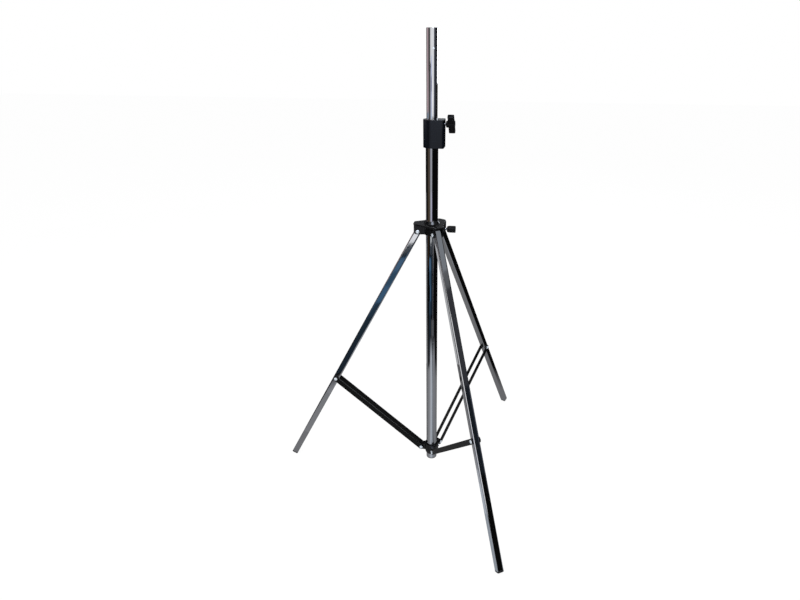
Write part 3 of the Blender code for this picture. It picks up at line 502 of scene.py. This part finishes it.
leg_chrome = chrome("leg_chrome")
leg_places, leg_halves, leg_ends = {}, {}, {}
for leg in LEGS:
    node = "leg_tube_" + leg
    pivot = Vector(joints["leg_fold_" + leg]["pos_m"])
    place = hung("leg_fold_" + leg, 2 * pivot - middle("brace_rivet_%s_a" % leg, "brace_rivet_%s_b" % leg))
    low, high = span(node, place, 2)
    half = span(node, place, 1)[1]
    profile = tube_profile(half, LEG_WALL, low, high)
    outlines = [rounded_square(r, max(r - half + LEG_CORNER, LEG_INNER_CORNER)) for r, z in profile]
    add(node + "_plated", [shell(carried(outlines, profile[:, 1]), ring=True, at=place)], leg_chrome,
        "leg_" + leg, "chrome_tube", node)
    leg_places[leg], leg_halves[leg], leg_ends[leg] = place, half, low


# Foot plugs: black nylon plugs pressed into the legs' lower ends, as wide as the leg, with a broken edge. Each is
# worn flat where it rests on the floor.
FOOT_EDGE = 0.00205
FOOT_SEAM = 0.0003            # between the plug's shoulder and the tube's end
FOOT_SPIGOT = 0.0040          # how much of the plug's spigot is made, inside the tube
FOOT_FIT = 0.0016             # the spigot inside the tube's outline
FOOT_RINGS = 14
FOOT_FACE = (0.06, 0.94)      # shares of the end face where its first and its last ring run


def moulding(name, roughness=0.15, shine=0.5, colour=(0.0030, 0.0032, 0.0037), grain=2400.0, depth=0.10):
    """Black moulded nylon: a shiny skin with a fine grain from the mould, duller in patches and along its edges."""
    black = Finish(name, colour, roughness, Specular_IOR_Level=shine)
    patches = black.noise(45.0, 3.0)
    pits = black.noise(grain, 2.0)
    worn = black.attribute("worn")
    black.feed("Roughness", (roughness - 0.04) + patches * 0.08 + pits * 0.03 + worn * 0.10)
    lighter = tuple(2.2 * c for c in colour)
    black.feed("Base Color", black.blend(patches * 0.5 + worn * 0.5, (*colour, 1), (*lighter, 1)))
    black.bump(pits, depth, 0.0001)
    return black


def edges(profile):
    """1 at the points where a profile turns, and 0 where it runs straight: four times the sine of its turn."""
    way = np.diff(profile, axis=0)
    way /= np.linalg.norm(way, axis=-1, keepdims=True) + 1e-9
    bend = np.abs(way[:-1, 0] * way[1:, 1] - way[:-1, 1] * way[1:, 0])
    return np.concatenate([[0], np.clip(4 * bend, 0, 1), [0]])


plug_black = moulding("plug_black", 0.34, 0.5, (0.0040, 0.0042, 0.0046), 1800.0, 0.3)
for leg in LEGS:
    node = "foot_plug_" + leg
    place, half = leg_places[leg], leg_halves[leg]
    end = span(node, place, 2)[0]
    shoulder, spigot = leg_ends[leg] - FOOT_SEAM, half - FOOT_FIT
    face = [(s * (half - FOOT_EDGE), end) for s in np.linspace(*FOOT_FACE, FOOT_RINGS)]
    rim = eased([(half - 2 * FOOT_EDGE, end), (half, end, FOOT_EDGE), (half, end + 2 * FOOT_EDGE)])
    side = [(half, z) for z in np.linspace(end + 2 * FOOT_EDGE, shoulder, FOOT_RINGS)[1:]]
    profile = np.array([*face, *rim[1:], *side, (spigot, shoulder), (spigot, shoulder + FOOT_SPIGOT)])
    outlines = [rounded_square(r, LEG_CORNER * r / half) for r, z in profile]
    points, faces, chart, caps, wear = shell(carried(outlines, profile[:, 1]), worn=edges(profile), at=place)
    up = np.array(place.col[2][:3])
    points = points + np.maximum(0, -points[:, 2:]) / up[2] * up
    add(node + "_moulded", [(points, faces, chart, caps, wear)], plug_black, "leg_" + leg, "black_plug", node)


# Clamp collar: a nylon moulding on the column's top, round behind and square towards its knob, that the riser slides
# through. A step in its bore seats on the column's end.
COLLAR_CORNER = 0.0065
COLLAR_RIM = 0.0013
COLLAR_LIP = 0.0006
COLLAR_ROUND_STEPS = 26
COLLAR_SPACING = 0.0030
FIT = 0.0003                  # between a bore and the tube in it
RIM_RUN = 1.6                 # how far the flat inside a rim goes on, in rims
HALF_ROUND = 0.999            # share of a half circle that two corners fill, so that their ends stay apart


def divided(outline, longest):
    """Outline with its long sides cut into even lengths, none over the longest."""
    following = np.roll(outline, -1, 0)
    counts = np.maximum(1, np.ceil(np.linalg.norm(following - outline, axis=-1) / longest)).astype(int)
    share = np.concatenate([np.arange(count) / count for count in counts])[:, None]
    return np.repeat(outline, counts, 0) * (1 - share) + np.repeat(following, counts, 0) * share


def inset(outline, depth):
    """Outline drawn in by a depth: each point moves against its outward normal, the mean of the ways to it and from
    it, turned a quarter to the right."""
    way = np.roll(outline, -1, 0) - outline
    way /= np.linalg.norm(way, axis=-1, keepdims=True)
    way += np.roll(way, 1, 0)
    normal = np.stack([way[:, 1], -way[:, 0]], -1) / np.linalg.norm(way, axis=-1, keepdims=True)
    return outline - depth * normal


def rim_profile(low, high, rim):
    """Profile of an outline's edge with both rims rounded, as (distance outside the outline, height)."""
    return eased([(-RIM_RUN * rim, low), (0, low, rim), (0, high, rim), (-RIM_RUN * rim, high)])


def walled(outline, outside, bore):
    """Grid up the outside of an outline and down a round bore, from their profiles: (distance outside the outline,
    height) and (radius, height). Every point of the bore faces its own point of the outline."""
    facing = outline / np.linalg.norm(outline, axis=-1, keepdims=True)
    outlines = [inset(outline, -q) for q, z in outside] + [r * facing for r, z in bore]
    return carried(outlines, [z for q, z in outside] + [z for r, z in bore])


# Its colour holds a faint blue: a painted sheen, standing in for the bluish light that the collar's glossy sides
# reflect.
collar_black = moulding("collar_black", colour=(0.0014, 0.0024, 0.0046))
collar_low, collar_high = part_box("clamp_collar")
collar_radius = (collar_high.y - collar_low.y) / 2
collar_reach = collar_high.x - stand_axis.x
collar_outline = divided(eased([
    (-collar_radius, -collar_radius, HALF_ROUND * collar_radius, COLLAR_ROUND_STEPS),
    (collar_reach, -collar_radius, COLLAR_CORNER, 8), (collar_reach, collar_radius, COLLAR_CORNER, 8),
    (-collar_radius, collar_radius, HALF_ROUND * collar_radius, COLLAR_ROUND_STEPS)]), COLLAR_SPACING)
collar_outside = rim_profile(collar_low.z, collar_high.z, COLLAR_RIM)
narrow, wide = riser_radius + FIT, column_radius + FIT
seat = column_high.z + FIT
collar_bore = eased([(narrow + 3 * COLLAR_LIP, collar_high.z), (narrow, collar_high.z, COLLAR_LIP), (narrow, seat),
                     (wide, seat), (wide, collar_low.z, COLLAR_LIP), (wide + 3 * COLLAR_LIP, collar_low.z)])
collar_grid = walled(collar_outline, collar_outside, collar_bore)
collar_wear = np.concatenate([edges(collar_outside), edges(collar_bore)])
add("clamp_collar_moulded", [shell(collar_grid, ring=True, worn=collar_wear, at=on_axis)], collar_black,
    "column", "black_moulding", "clamp_collar")


# T-shaped knob: a nylon wing across a round-nosed hub, moulded over the end of its lock screw. It stands turned
# away from upright, as it was left.
WING_LENGTH = 0.0690
WING_DEPTH = 0.0178
WING_THICKNESS = 0.0110
WING_CORNER = 0.0028
WING_RIM = 0.0022
WING_SET_BACK = 0.0010
WING_HUB_RADIUS = 0.0092
WING_NOSE = 0.0030
WING_EDGE = 0.0008
WING_DISH = 0.0005            # depth of the hollow in the hub's outer face
WING_TURN = radians(46.0)
POLE = 0.0003                 # radius at which a turned face is closed by its cap
UPRIGHT = Matrix.Rotation(pi / 2, 4, "X")      # carries an outline's Y to +Z
ALONG_X = Matrix.Rotation(pi / 2, 4, "Y")      # carries a turned piece's Z to +X


def slab(outline, low, high, rim, at):
    """Flat piece with rounded rims: an outline carried from low to high and drawn in along both rims."""
    profile = rim_profile(low, high, rim)
    outlines = [inset(outline, -q) for q, z in profile]
    return shell(carried(outlines, profile[:, 1]), worn=edges(profile), at=at)


def spun(profile, at, steps=TUBE_STEPS // 2):
    """Turned piece, worn where its profile turns."""
    return shell(turned(profile, steps), worn=edges(profile), at=at)


knob_low, knob_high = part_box("clamp_knob")
clamp_z = joints["clamp_knob_turn"]["pos_m"][2]
clamp_place = Matrix.Translation((knob_low.x, stand_axis.y, clamp_z)) @ Matrix.Rotation(WING_TURN, 4, "X")
hub_length = knob_high.x - knob_low.x
dish_radius = WING_HUB_RADIUS - 4 * WING_EDGE
wing_hub = eased([(POLE, 0), (WING_HUB_RADIUS, 0, WING_NOSE, 7), (WING_HUB_RADIUS, hub_length, WING_EDGE),
                  (dish_radius, hub_length, WING_EDGE / 2),
                  (dish_radius - WING_EDGE, hub_length - WING_DISH, WING_EDGE / 2), (POLE, hub_length - WING_DISH)])
wing_outer = hub_length - WING_SET_BACK
wing_inner = wing_outer - WING_DEPTH
wing_outline = eased([(x, y, WING_CORNER, 7) for x, y in (
    (wing_inner, -WING_LENGTH / 2), (wing_outer, -WING_LENGTH / 2), (wing_outer, WING_LENGTH / 2),
    (wing_inner, WING_LENGTH / 2))])
wing = slab(wing_outline, -WING_THICKNESS / 2, WING_THICKNESS / 2, WING_RIM, clamp_place @ UPRIGHT)
knob_black = moulding("knob_black", 0.40, 0.20)
add("clamp_knob_moulded", [spun(wing_hub, clamp_place @ ALONG_X), wing], knob_black,
    "clamp_screw", "black_moulding", "clamp_knob")


# Lock screws: plated steel studs, M8, with a rolled thread that shows between each collar and its knob. A flat point
# presses on the pad inside.
THREAD_PITCH = 0.00125
THREAD_DEPTH = 0.00070
THREAD_ROWS = 10              # to a turn
THREAD_STEPS = 40
STUD_POINT = 0.0008


def bright(name, colour=(0.74, 0.75, 0.78), roughness=0.16, metallic=1.0):
    """Bright plated steel or turned brass: small pieces with a soft shine and fine pits."""
    metal = Finish(name, colour, roughness, metallic)
    patches = metal.noise(300.0, 3.0)
    metal.feed("Roughness", (roughness - 0.06) + patches * 0.14 + metal.attribute("worn") * 0.05)
    darker = tuple(0.82 * c for c in colour)
    metal.feed("Base Color", metal.blend(patches, (*darker, 1), (*colour, 1)))
    metal.bump(patches, 0.08, 0.0001)
    return metal


steel = bright("screw_steel")
for node, body, joint in (("clamp_stud", "clamp_screw", "clamp_knob_turn"),
                          ("spider_stud", "spider_screw", "spider_knob_turn")):
    low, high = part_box(node)
    radius, length = (high.y - low.y) / 2, high.x - low.x
    place = Matrix.Translation((low.x, stand_axis.y, joints[joint]["pos_m"][2])) @ ALONG_X
    along = np.linspace(0, length, int(length / THREAD_PITCH * THREAD_ROWS))
    grid = turned(np.stack([np.full(len(along), radius), along], -1), THREAD_STEPS)
    angle = np.arctan2(grid[..., 1], grid[..., 0])
    groove = 0.5 + 0.5 * np.cos(2 * pi * along[:, None] / THREAD_PITCH - angle)
    point = np.clip(1 - along / STUD_POINT, 0, 1)[:, None]
    grid[..., :2] *= (1 - groove * THREAD_DEPTH / radius - point * STUD_POINT / radius)[..., None]
    add(node + "_threaded", [shell(grid, at=place)], steel, body, "bright_steel", node)


# Spider collar: the nylon moulding that slides on the column and carries the legs. A round-cornered plate covers
# three forks of two ears each, a neck and a sleeve guide it on the column, and a boss at one side takes the lock
# screw.
SPIDER_RIM = 0.0020
SPIDER_CORNER = 0.0065
SPIDER_PLATE = 0.0055
SPIDER_LIP = 0.0007
NECK_RISE = 0.0080            # of the neck round the column, over the plate
NECK_RADIUS = 0.0192          # at its top
NECK_ROUND = 0.0009
SLEEVE_RADIUS = 0.0235
SLEEVE_EDGE = 0.0010
EAR_THICKNESS = 0.0040
EAR_ROUND = 0.0080
EAR_BOTTOM = -0.0080          # from the pivots
EAR_RIM = 0.0006
EAR_GAP = 0.0104              # from a fork's middle to its ears
BOSS_RADIUS = 0.0085
BOSS_REACH = 0.0390
BOSS_EDGE = 0.0008
WEB_HALF = 0.0058
AZIMUTHS = (-pi / 3, pi / 3, pi)     # of the front, back and left leg

spider_low, spider_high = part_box("spider_collar")
pivot_z = joints["leg_fold_left"]["pos_m"][2]
pivot_radius = abs(joints["leg_fold_left"]["pos_m"][0] - stand_axis.x)
lug_end = stand_axis.x - spider_low.x
ear_outer = EAR_GAP + EAR_THICKNESS
lug_half = ear_outer - SPIDER_CORNER + SPIDER_CORNER * tan(pi / 6)
lug = np.array([(lug_end, -lug_half), (lug_end, lug_half)])
hexagon = np.concatenate([lug @ np.array([[cos(a), sin(a)], [-sin(a), cos(a)]]) for a in AZIMUTHS])
plate_outline = divided(eased([(x, y, SPIDER_CORNER, 9) for x, y in hexagon]), COLLAR_SPACING)
neck_top = spider_high.z
plate_top = neck_top - NECK_RISE
plate_under = plate_top - SPIDER_PLATE
bore = column_radius + FIT
sleeve_outside = eased([(SLEEVE_RADIUS - 2 * SLEEVE_EDGE, spider_low.z), (SLEEVE_RADIUS, spider_low.z, SLEEVE_EDGE),
                        (SLEEVE_RADIUS, plate_under, SLEEVE_EDGE), (SLEEVE_RADIUS + 2 * SLEEVE_EDGE, plate_under)])
plate_outside = rim_profile(plate_under, plate_top, SPIDER_RIM)
neck_and_bore = eased([
    (SLEEVE_RADIUS + 2 * NECK_ROUND, plate_top), (SLEEVE_RADIUS, plate_top, NECK_ROUND / 2),
    (SLEEVE_RADIUS, plate_top + SLEEVE_EDGE, NECK_ROUND), (NECK_RADIUS, neck_top, NECK_ROUND / 2),
    (bore, neck_top, SPIDER_LIP / 2),
    (bore, spider_low.z, SPIDER_LIP), (bore + 3 * SPIDER_LIP, spider_low.z)])
facing = plate_outline / np.linalg.norm(plate_outline, axis=-1, keepdims=True)
sleeve_grid = carried([r * facing for r, z in sleeve_outside], sleeve_outside[:, 1])
spider_grid = np.concatenate([sleeve_grid, walled(plate_outline, plate_outside, neck_and_bore)])
spider_wear = np.concatenate([edges(part) for part in (sleeve_outside, plate_outside, neck_and_bore)])
spider_shells = [shell(spider_grid, ring=True, worn=spider_wear, at=on_axis)]

ear_top, ear_end, ear_root = plate_under + SPIDER_RIM - pivot_z, lug_end - SPIDER_RIM, bore + SLEEVE_EDGE
sleeve_bottom = spider_low.z - pivot_z
ear_outline = eased([(ear_root, sleeve_bottom + SLEEVE_EDGE), (SLEEVE_RADIUS, sleeve_bottom + SLEEVE_EDGE),
                     (pivot_radius - EAR_ROUND, EAR_BOTTOM, EAR_ROUND), (ear_end, EAR_BOTTOM, EAR_ROUND, 9),
                     (ear_end, ear_top), (ear_root, ear_top)])
at_pivots = on_axis @ Matrix.Translation((0, 0, pivot_z))
for azimuth in AZIMUTHS:
    for near in (EAR_GAP, -ear_outer):
        spider_shells.append(slab(ear_outline, near, near + EAR_THICKNESS, EAR_RIM,
                                  at_pivots @ Matrix.Rotation(azimuth, 4, "Z") @ UPRIGHT))

boss_z = joints["spider_knob_turn"]["pos_m"][2]
boss = eased([(POLE, ear_root), (BOSS_RADIUS, ear_root), (BOSS_RADIUS, BOSS_REACH, BOSS_EDGE), (POLE, BOSS_REACH)])
spider_shells.append(spun(boss, on_axis @ Matrix.Translation((0, 0, boss_z)) @ ALONG_X))
web_far = BOSS_REACH - 2 * SPIDER_RIM
web_outline = eased([(ear_root, -WEB_HALF), (web_far, -WEB_HALF, EAR_RIM), (web_far, WEB_HALF, EAR_RIM),
                     (ear_root, WEB_HALF)])
spider_shells.append(slab(web_outline, boss_z, plate_under + SPIDER_RIM, EAR_RIM, on_axis))
spider_black = moulding("spider_black", 0.14, 0.38)
add("spider_collar_moulded", spider_shells, spider_black, "spider", "black_moulding", "spider_collar")


# Round knob: the fluted nylon knob on the spider's lock screw, with a rounded nose towards the collar and a shallow
# dish in its outer face.
KNOB_FLUTES = 10
KNOB_FLUTE_DEPTH = 0.0008
KNOB_NOSE = 0.0095
KNOB_NOSE_SHARE = 0.62        # of its radius, where the nose starts
KNOB_RIM = 0.0014
KNOB_DISH = 0.0006
KNOB_DISH_IN = 2.2            # from the knob's outside to its dish, in rims
FLUTES_FROM = 0.80            # share of the knob's radius where a flute starts to grow
KNOB_STEPS = 160

low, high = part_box("spider_knob")
radius, length = (high.z - low.z) / 2, high.x - low.x
nose_turn = np.linspace(0, pi / 2, 12)
nose = np.stack([radius * (KNOB_NOSE_SHARE + (1 - KNOB_NOSE_SHARE) * np.sin(nose_turn)),
                 KNOB_NOSE * (1 - np.cos(nose_turn))], -1)
dish = radius - KNOB_DISH_IN * KNOB_RIM
knob_profile = np.concatenate([[(POLE, 0)], nose, eased([
    (radius, KNOB_NOSE + KNOB_RIM), (radius, length, KNOB_RIM, 7), (dish, length, KNOB_DISH / 2),
    (dish - KNOB_DISH, length - KNOB_DISH, KNOB_DISH / 2), (POLE, length - KNOB_DISH)])])
grid = turned(knob_profile, KNOB_STEPS)
angle = (np.arange(KNOB_STEPS) * 2 * pi / KNOB_STEPS)[None, :]
outside = np.clip((knob_profile[:, 0] / radius - FLUTES_FROM) / (1 - FLUTES_FROM), 0, 1)
outside *= np.clip(knob_profile[:, 1] / KNOB_NOSE, 0, 1)
flute = (0.5 - 0.5 * np.cos(KNOB_FLUTES * angle)) ** 2 * outside[:, None] * KNOB_FLUTE_DEPTH / radius
grid[..., :2] *= (1 - flute)[..., None]
knob_place = Matrix.Translation((low.x, stand_axis.y, boss_z)) @ ALONG_X
add("spider_knob_moulded", [shell(grid, worn=edges(knob_profile), at=knob_place)], knob_black,
    "spider_screw", "black_moulding", "spider_knob")


# Bottom hub: the nylon moulding that a screw fixes at the column's foot. It is a waisted barrel with a round-ended
# tongue for each brace.
HUB_RADIUS = 0.0235
HUB_CHAMFER = 0.0012
HUB_WAIST = -0.0090           # from the pivots
HUB_BOTTOM_RADIUS = 0.0200
TONGUE_ROUND = 0.0090
TONGUE_ROOT = 0.0120          # half its height in the barrel
TONGUE_SHOULDER = 0.92        # share of that where it leaves the barrel
TONGUE_HALF = 0.0103
TONGUE_RIM = 0.0008

hub_low, hub_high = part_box("bottom_hub")
hub_pivot = Vector(joints["brace_fold_left"]["pos_m"])
hub_bore = column_radius + FIT
hub_profile = eased([
    (HUB_BOTTOM_RADIUS, hub_low.z, HUB_CHAMFER), (HUB_RADIUS, hub_pivot.z + HUB_WAIST, 2 * HUB_CHAMFER),
    (HUB_RADIUS, hub_high.z, HUB_CHAMFER), (hub_bore, hub_high.z, HUB_CHAMFER / 2),
    (hub_bore, hub_low.z, HUB_CHAMFER / 2)])
hub_shells = [shell(turned(hub_profile), ring=True, worn=edges(hub_profile), at=on_axis)]
hub_pivot_radius = abs(hub_pivot.x - stand_axis.x)
tongue_root = hub_bore + HUB_CHAMFER
rounding = np.linspace(-pi / 2, pi / 2, 25)
tongue_outline = np.concatenate([
    [(tongue_root, TONGUE_ROOT), (tongue_root, -TONGUE_ROOT), (HUB_RADIUS, -TONGUE_ROOT * TONGUE_SHOULDER)],
    np.stack([hub_pivot_radius + TONGUE_ROUND * np.cos(rounding), TONGUE_ROUND * np.sin(rounding)], -1),
    [(HUB_RADIUS, TONGUE_ROOT * TONGUE_SHOULDER)]])
at_hub_pivots = on_axis @ Matrix.Translation((0, 0, hub_pivot.z))
for azimuth in AZIMUTHS:
    hub_shells.append(slab(tongue_outline, -TONGUE_HALF, TONGUE_HALF, TONGUE_RIM,
                           at_hub_pivots @ Matrix.Rotation(azimuth, 4, "Z") @ UPRIGHT))
add("bottom_hub_moulded", hub_shells, spider_black, "column", "black_moulding", "bottom_hub")


# Braces: two flat steel bars to a leg, cut with round ends, drilled, deburred and painted satin black. They run
# outside the hub's tongue and the leg.
BAR_RIM = 0.0005
BAR_END = 0.97                # radius of a bar's end corners, as a share of half its width
BAR_SPACING = 0.02


def paint(name):
    """Satin black paint on flat bar, with a slight orange peel, rubbed brighter along its edges."""
    coat = Finish(name, (0.003, 0.003, 0.003), 0.30, Specular_IOR_Level=0.25)
    peel = coat.noise(700.0, 1.0)
    patches = coat.noise(30.0, 3.0)
    worn = coat.attribute("worn")
    coat.feed("Roughness", 0.24 + patches * 0.16 - worn * 0.06)
    rubbed = patches * 0.7 + worn * 0.3
    coat.feed("Base Color", coat.blend(rubbed, (0.002, 0.002, 0.002, 1), (0.005, 0.005, 0.005, 1)))
    coat.bump(peel, 0.2, 0.0001)
    return coat


brace_paint = paint("brace_paint")
brace_places = {}
for leg in LEGS:
    place = hung("brace_fold_" + leg, middle("brace_rivet_%s_a" % leg, "brace_rivet_%s_b" % leg))
    brace_places[leg] = place
    for side in ("_a", "_b"):
        node = "brace_bar_" + leg + side
        half, far = span(node, place, 0)[1], span(node, place, 2)[1]
        near, beyond = span(node, place, 1)
        outline = divided(eased([(x, y, BAR_END * half) for x, y in (
            (half, -half), (half, far), (-half, far), (-half, -half))], steps=11), BAR_SPACING)
        add(node + "_painted", [slab(outline, -beyond, -near, BAR_RIM, place @ UPRIGHT)], brace_paint,
            "brace_" + leg, "black_paint", node)


# Rivets: plated steel, with domed heads and a shallow dimple from the riveting tool. Their pale blue-white colour is
# a painted glint. One goes through each fork and leg and each tongue, and one end of another holds each bar to its
# leg.
HEAD_RADIUS = 0.0056
HEAD_HEIGHT = 0.0030
HEAD_RIM = 0.25               # share of the head's height that its rim stands up straight
DIMPLE_RADIUS = 0.0011
DIMPLE_DEPTH = 0.00035
PIVOT_SHANK = 0.0040
BRACE_SHANK = 0.0030
RIVET_STEPS = 48


def head(radius, height, base, dimple=DIMPLE_DEPTH):
    """Profile of a rivet's head from its rim to its middle: an upright rim, a quarter of an ellipse over it, less a
    dimple that is a bell curve of the radius."""
    t = np.linspace(0, pi / 2, 16)
    r = np.maximum(radius * np.cos(t), POLE)
    z = base + height * (HEAD_RIM + (1 - HEAD_RIM) * np.sin(t)) - dimple * np.exp(-(r / DIMPLE_RADIUS) ** 2)
    return np.concatenate([[(radius - POLE, base), (radius, base + POLE)], np.stack([r, z], -1)])


# Pale blue-white and only partly metallic, so that the heads look lit in any light: a painted glint over plated
# steel.
rivet_steel = bright("rivet_steel", (0.84, 0.92, 1.00), 0.34, 0.35)
ALONG_Y = Matrix.Rotation(-pi / 2, 4, "X")     # carries a turned piece's Z to +Y
for leg in LEGS:
    for node, body, at, shank in (("leg_pivot_rivet_" + leg, "spider", leg_places[leg], PIVOT_SHANK),
                                  ("hub_rivet_" + leg, "column", brace_places[leg], BRACE_SHANK)):
        base = span(node, at, 1)[1] - HEAD_HEIGHT
        half_profile = np.concatenate([[(shank, base)], head(HEAD_RADIUS, HEAD_HEIGHT, base)])
        profile = np.concatenate([half_profile[::-1] * (1, -1), half_profile])
        add(node + "_domed", [spun(profile, at @ ALONG_Y, RIVET_STEPS)], rivet_steel, body, "bright_steel", node)
    for side in ("_a", "_b"):
        node, bar, at = "brace_rivet_" + leg + side, "brace_bar_" + leg + side, brace_places[leg]
        lift = span(bar, at, 2)[1] - span(bar, at, 0)[1]
        near, far = span(node, at, 1)
        flip = STAY if near > 0 else Matrix.Rotation(pi, 4, "Z")
        inner, outer = min(abs(near), abs(far)), max(abs(near), abs(far))
        profile = np.concatenate([[(POLE, inner), (BRACE_SHANK, inner), (BRACE_SHANK, outer - HEAD_HEIGHT)],
                                  head(HEAD_RADIUS, HEAD_HEIGHT, outer - HEAD_HEIGHT)])
        place = at @ Matrix.Translation((0, 0, lift)) @ flip @ ALONG_Y
        add(node + "_domed", [spun(profile, place, RIVET_STEPS)], rivet_steel, "brace_" + leg, "bright_steel", node)


# Fixing screws: plated pan-head screws with a cross recess, one through the hub and one through the clamp collar into
# the column's wall.
SCREW_RADIUS = 0.0024
SCREW_HEAD_RADIUS = 0.0048
SCREW_HEAD_HEIGHT = 0.0028
RECESS_DEPTH = 0.0014
RECESS_HALF_WIDTH = 0.0005
RECESS_REACH = 0.0024
RECESS_SLOPE = 0.0005
CROWN_RIM = 0.35              # share of the head's height that its rim stands up straight
CROWN_SQUARENESS = 2.6        # power of the ellipse over it; 2 would be a plain one
CROWN_SPREAD = 0.7            # power that draws the crown's rows towards its rim
SCREW_STEPS = 96


def facing_out(direction, z):
    """Matrix on the stand's axis at a height: Z points outwards."""
    turn = direction.to_track_quat("Z", "Y").to_matrix().to_4x4()
    return Matrix.Translation((*stand_axis.xy, z)) @ turn


for node, direction in (("hub_fixing_screw", Vector((1, 0, 0))), ("collar_fixing_screw", Vector((0, 1, 0)))):
    place = facing_out(direction, middle(node).z)
    near, far = span(node, place, 2)
    base = far - SCREW_HEAD_HEIGHT
    r = np.maximum(np.linspace(1, 0, 40) ** CROWN_SPREAD * SCREW_HEAD_RADIUS, POLE)
    dome = np.sqrt(np.clip(1 - (r / SCREW_HEAD_RADIUS) ** CROWN_SQUARENESS, 0, 1))
    crown = base + SCREW_HEAD_HEIGHT * (CROWN_RIM + (1 - CROWN_RIM) * dome)
    shank = [(POLE, near), (SCREW_RADIUS, near), (SCREW_RADIUS, base),
             (SCREW_HEAD_RADIUS - POLE, base), (SCREW_HEAD_RADIUS, base + POLE)]
    profile = np.concatenate([shank, np.stack([r, crown], -1)])
    grid = turned(profile, SCREW_STEPS)
    x, y = np.abs(grid[..., 0]), np.abs(grid[..., 1])
    recess = np.clip((RECESS_HALF_WIDTH + RECESS_SLOPE - np.minimum(x, y)) / RECESS_SLOPE, 0, 1)
    recess *= np.clip((RECESS_REACH - np.maximum(x, y)) / RECESS_SLOPE, 0, 1)
    recess[:len(shank)] = 0
    grid[..., 2] -= RECESS_DEPTH * recess
    add(node + "_recessed", [shell(grid, worn=edges(profile), at=place)], steel, "column", "bright_steel", node)


# Plugs of the two tubes: nylon plugs pressed into the riser's top and the column's foot. A small rivet through the
# riser's wall holds the top one.
PLUG_EDGE = 0.0008
TOP_PLUG_WALL = 0.0022
TOP_PLUG_CROWN = 0.0040
TOP_DISH_RADIUS = 0.0095
TOP_DISH_DEPTH = 0.0006
PLUG_RIVET_SHANK = 0.0016
PLUG_RIVET_HEIGHT = 0.0013
PLUG_RIVET_DIMPLE = 0.0002

low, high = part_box("riser_top_plug")
outer = (high.x - low.x) / 2
inner, ceiling, dish = outer - TOP_PLUG_WALL, high.z - TOP_PLUG_CROWN, high.z - TOP_DISH_DEPTH
top_profile = eased([(POLE, ceiling), (inner, ceiling), (inner, low.z), (outer, low.z, PLUG_EDGE),
                     (outer, high.z, PLUG_EDGE), (TOP_DISH_RADIUS, high.z, PLUG_EDGE / 2),
                     (TOP_DISH_RADIUS - PLUG_EDGE, dish, PLUG_EDGE / 2), (POLE, dish)])
add("riser_top_plug_moulded", [spun(top_profile, on_axis)], plug_black, "riser", "black_plug", "riser_top_plug")

spot = middle("plug_rivet")
outward = Vector((spot.x - stand_axis.x, spot.y - stand_axis.y, 0)).normalized()
place = facing_out(outward, spot.z)
near, far = span("plug_rivet", place, 2)
radius = span("plug_rivet", place, 1)[1]
base = far - PLUG_RIVET_HEIGHT
rivet_profile = np.concatenate([[(POLE, near), (PLUG_RIVET_SHANK, near), (PLUG_RIVET_SHANK, base)],
                                head(radius, PLUG_RIVET_HEIGHT, base, PLUG_RIVET_DIMPLE)])
# The plug's rivet takes the same painted glint.
add("plug_rivet_domed", [spun(rivet_profile, place, RIVET_STEPS)], rivet_steel, "riser", "bright_steel", "plug_rivet")

low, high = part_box("column_end_plug")
flange = (high.x - low.x) / 2
spigot = column_radius - COLUMN_WALL - FIT
seat = column_low.z - FIT
end_profile = eased([(POLE, low.z), (flange, low.z, 1.5 * PLUG_EDGE), (flange, seat, PLUG_EDGE / 4), (spigot, seat),
                     (spigot, high.z, PLUG_EDGE), (POLE, high.z)])
add("column_end_plug_moulded", [spun(end_profile, on_axis)], plug_black, "column", "black_plug", "column_end_plug")


# Pieces that the others hide: the brass inserts of the lock screws, their pads, and the riser's guide plug. Their
# solids stay, with finishes of their own.
finishes = {"black_moulding": collar_black, "black_plug": plug_black, "black_paint": brace_paint,
            "bright_steel": steel, "brass": bright("insert_brass", (0.62, 0.47, 0.20)), "chrome_tube": leg_chrome}
slot_of = {part["node"]: part["material_slot"] for part in frame["record"]["subparts"]}
for node, thing in frame["nodes"].items():
    thing.data.materials.clear()
    thing.data.materials.append(finishes[slot_of[node]].material)
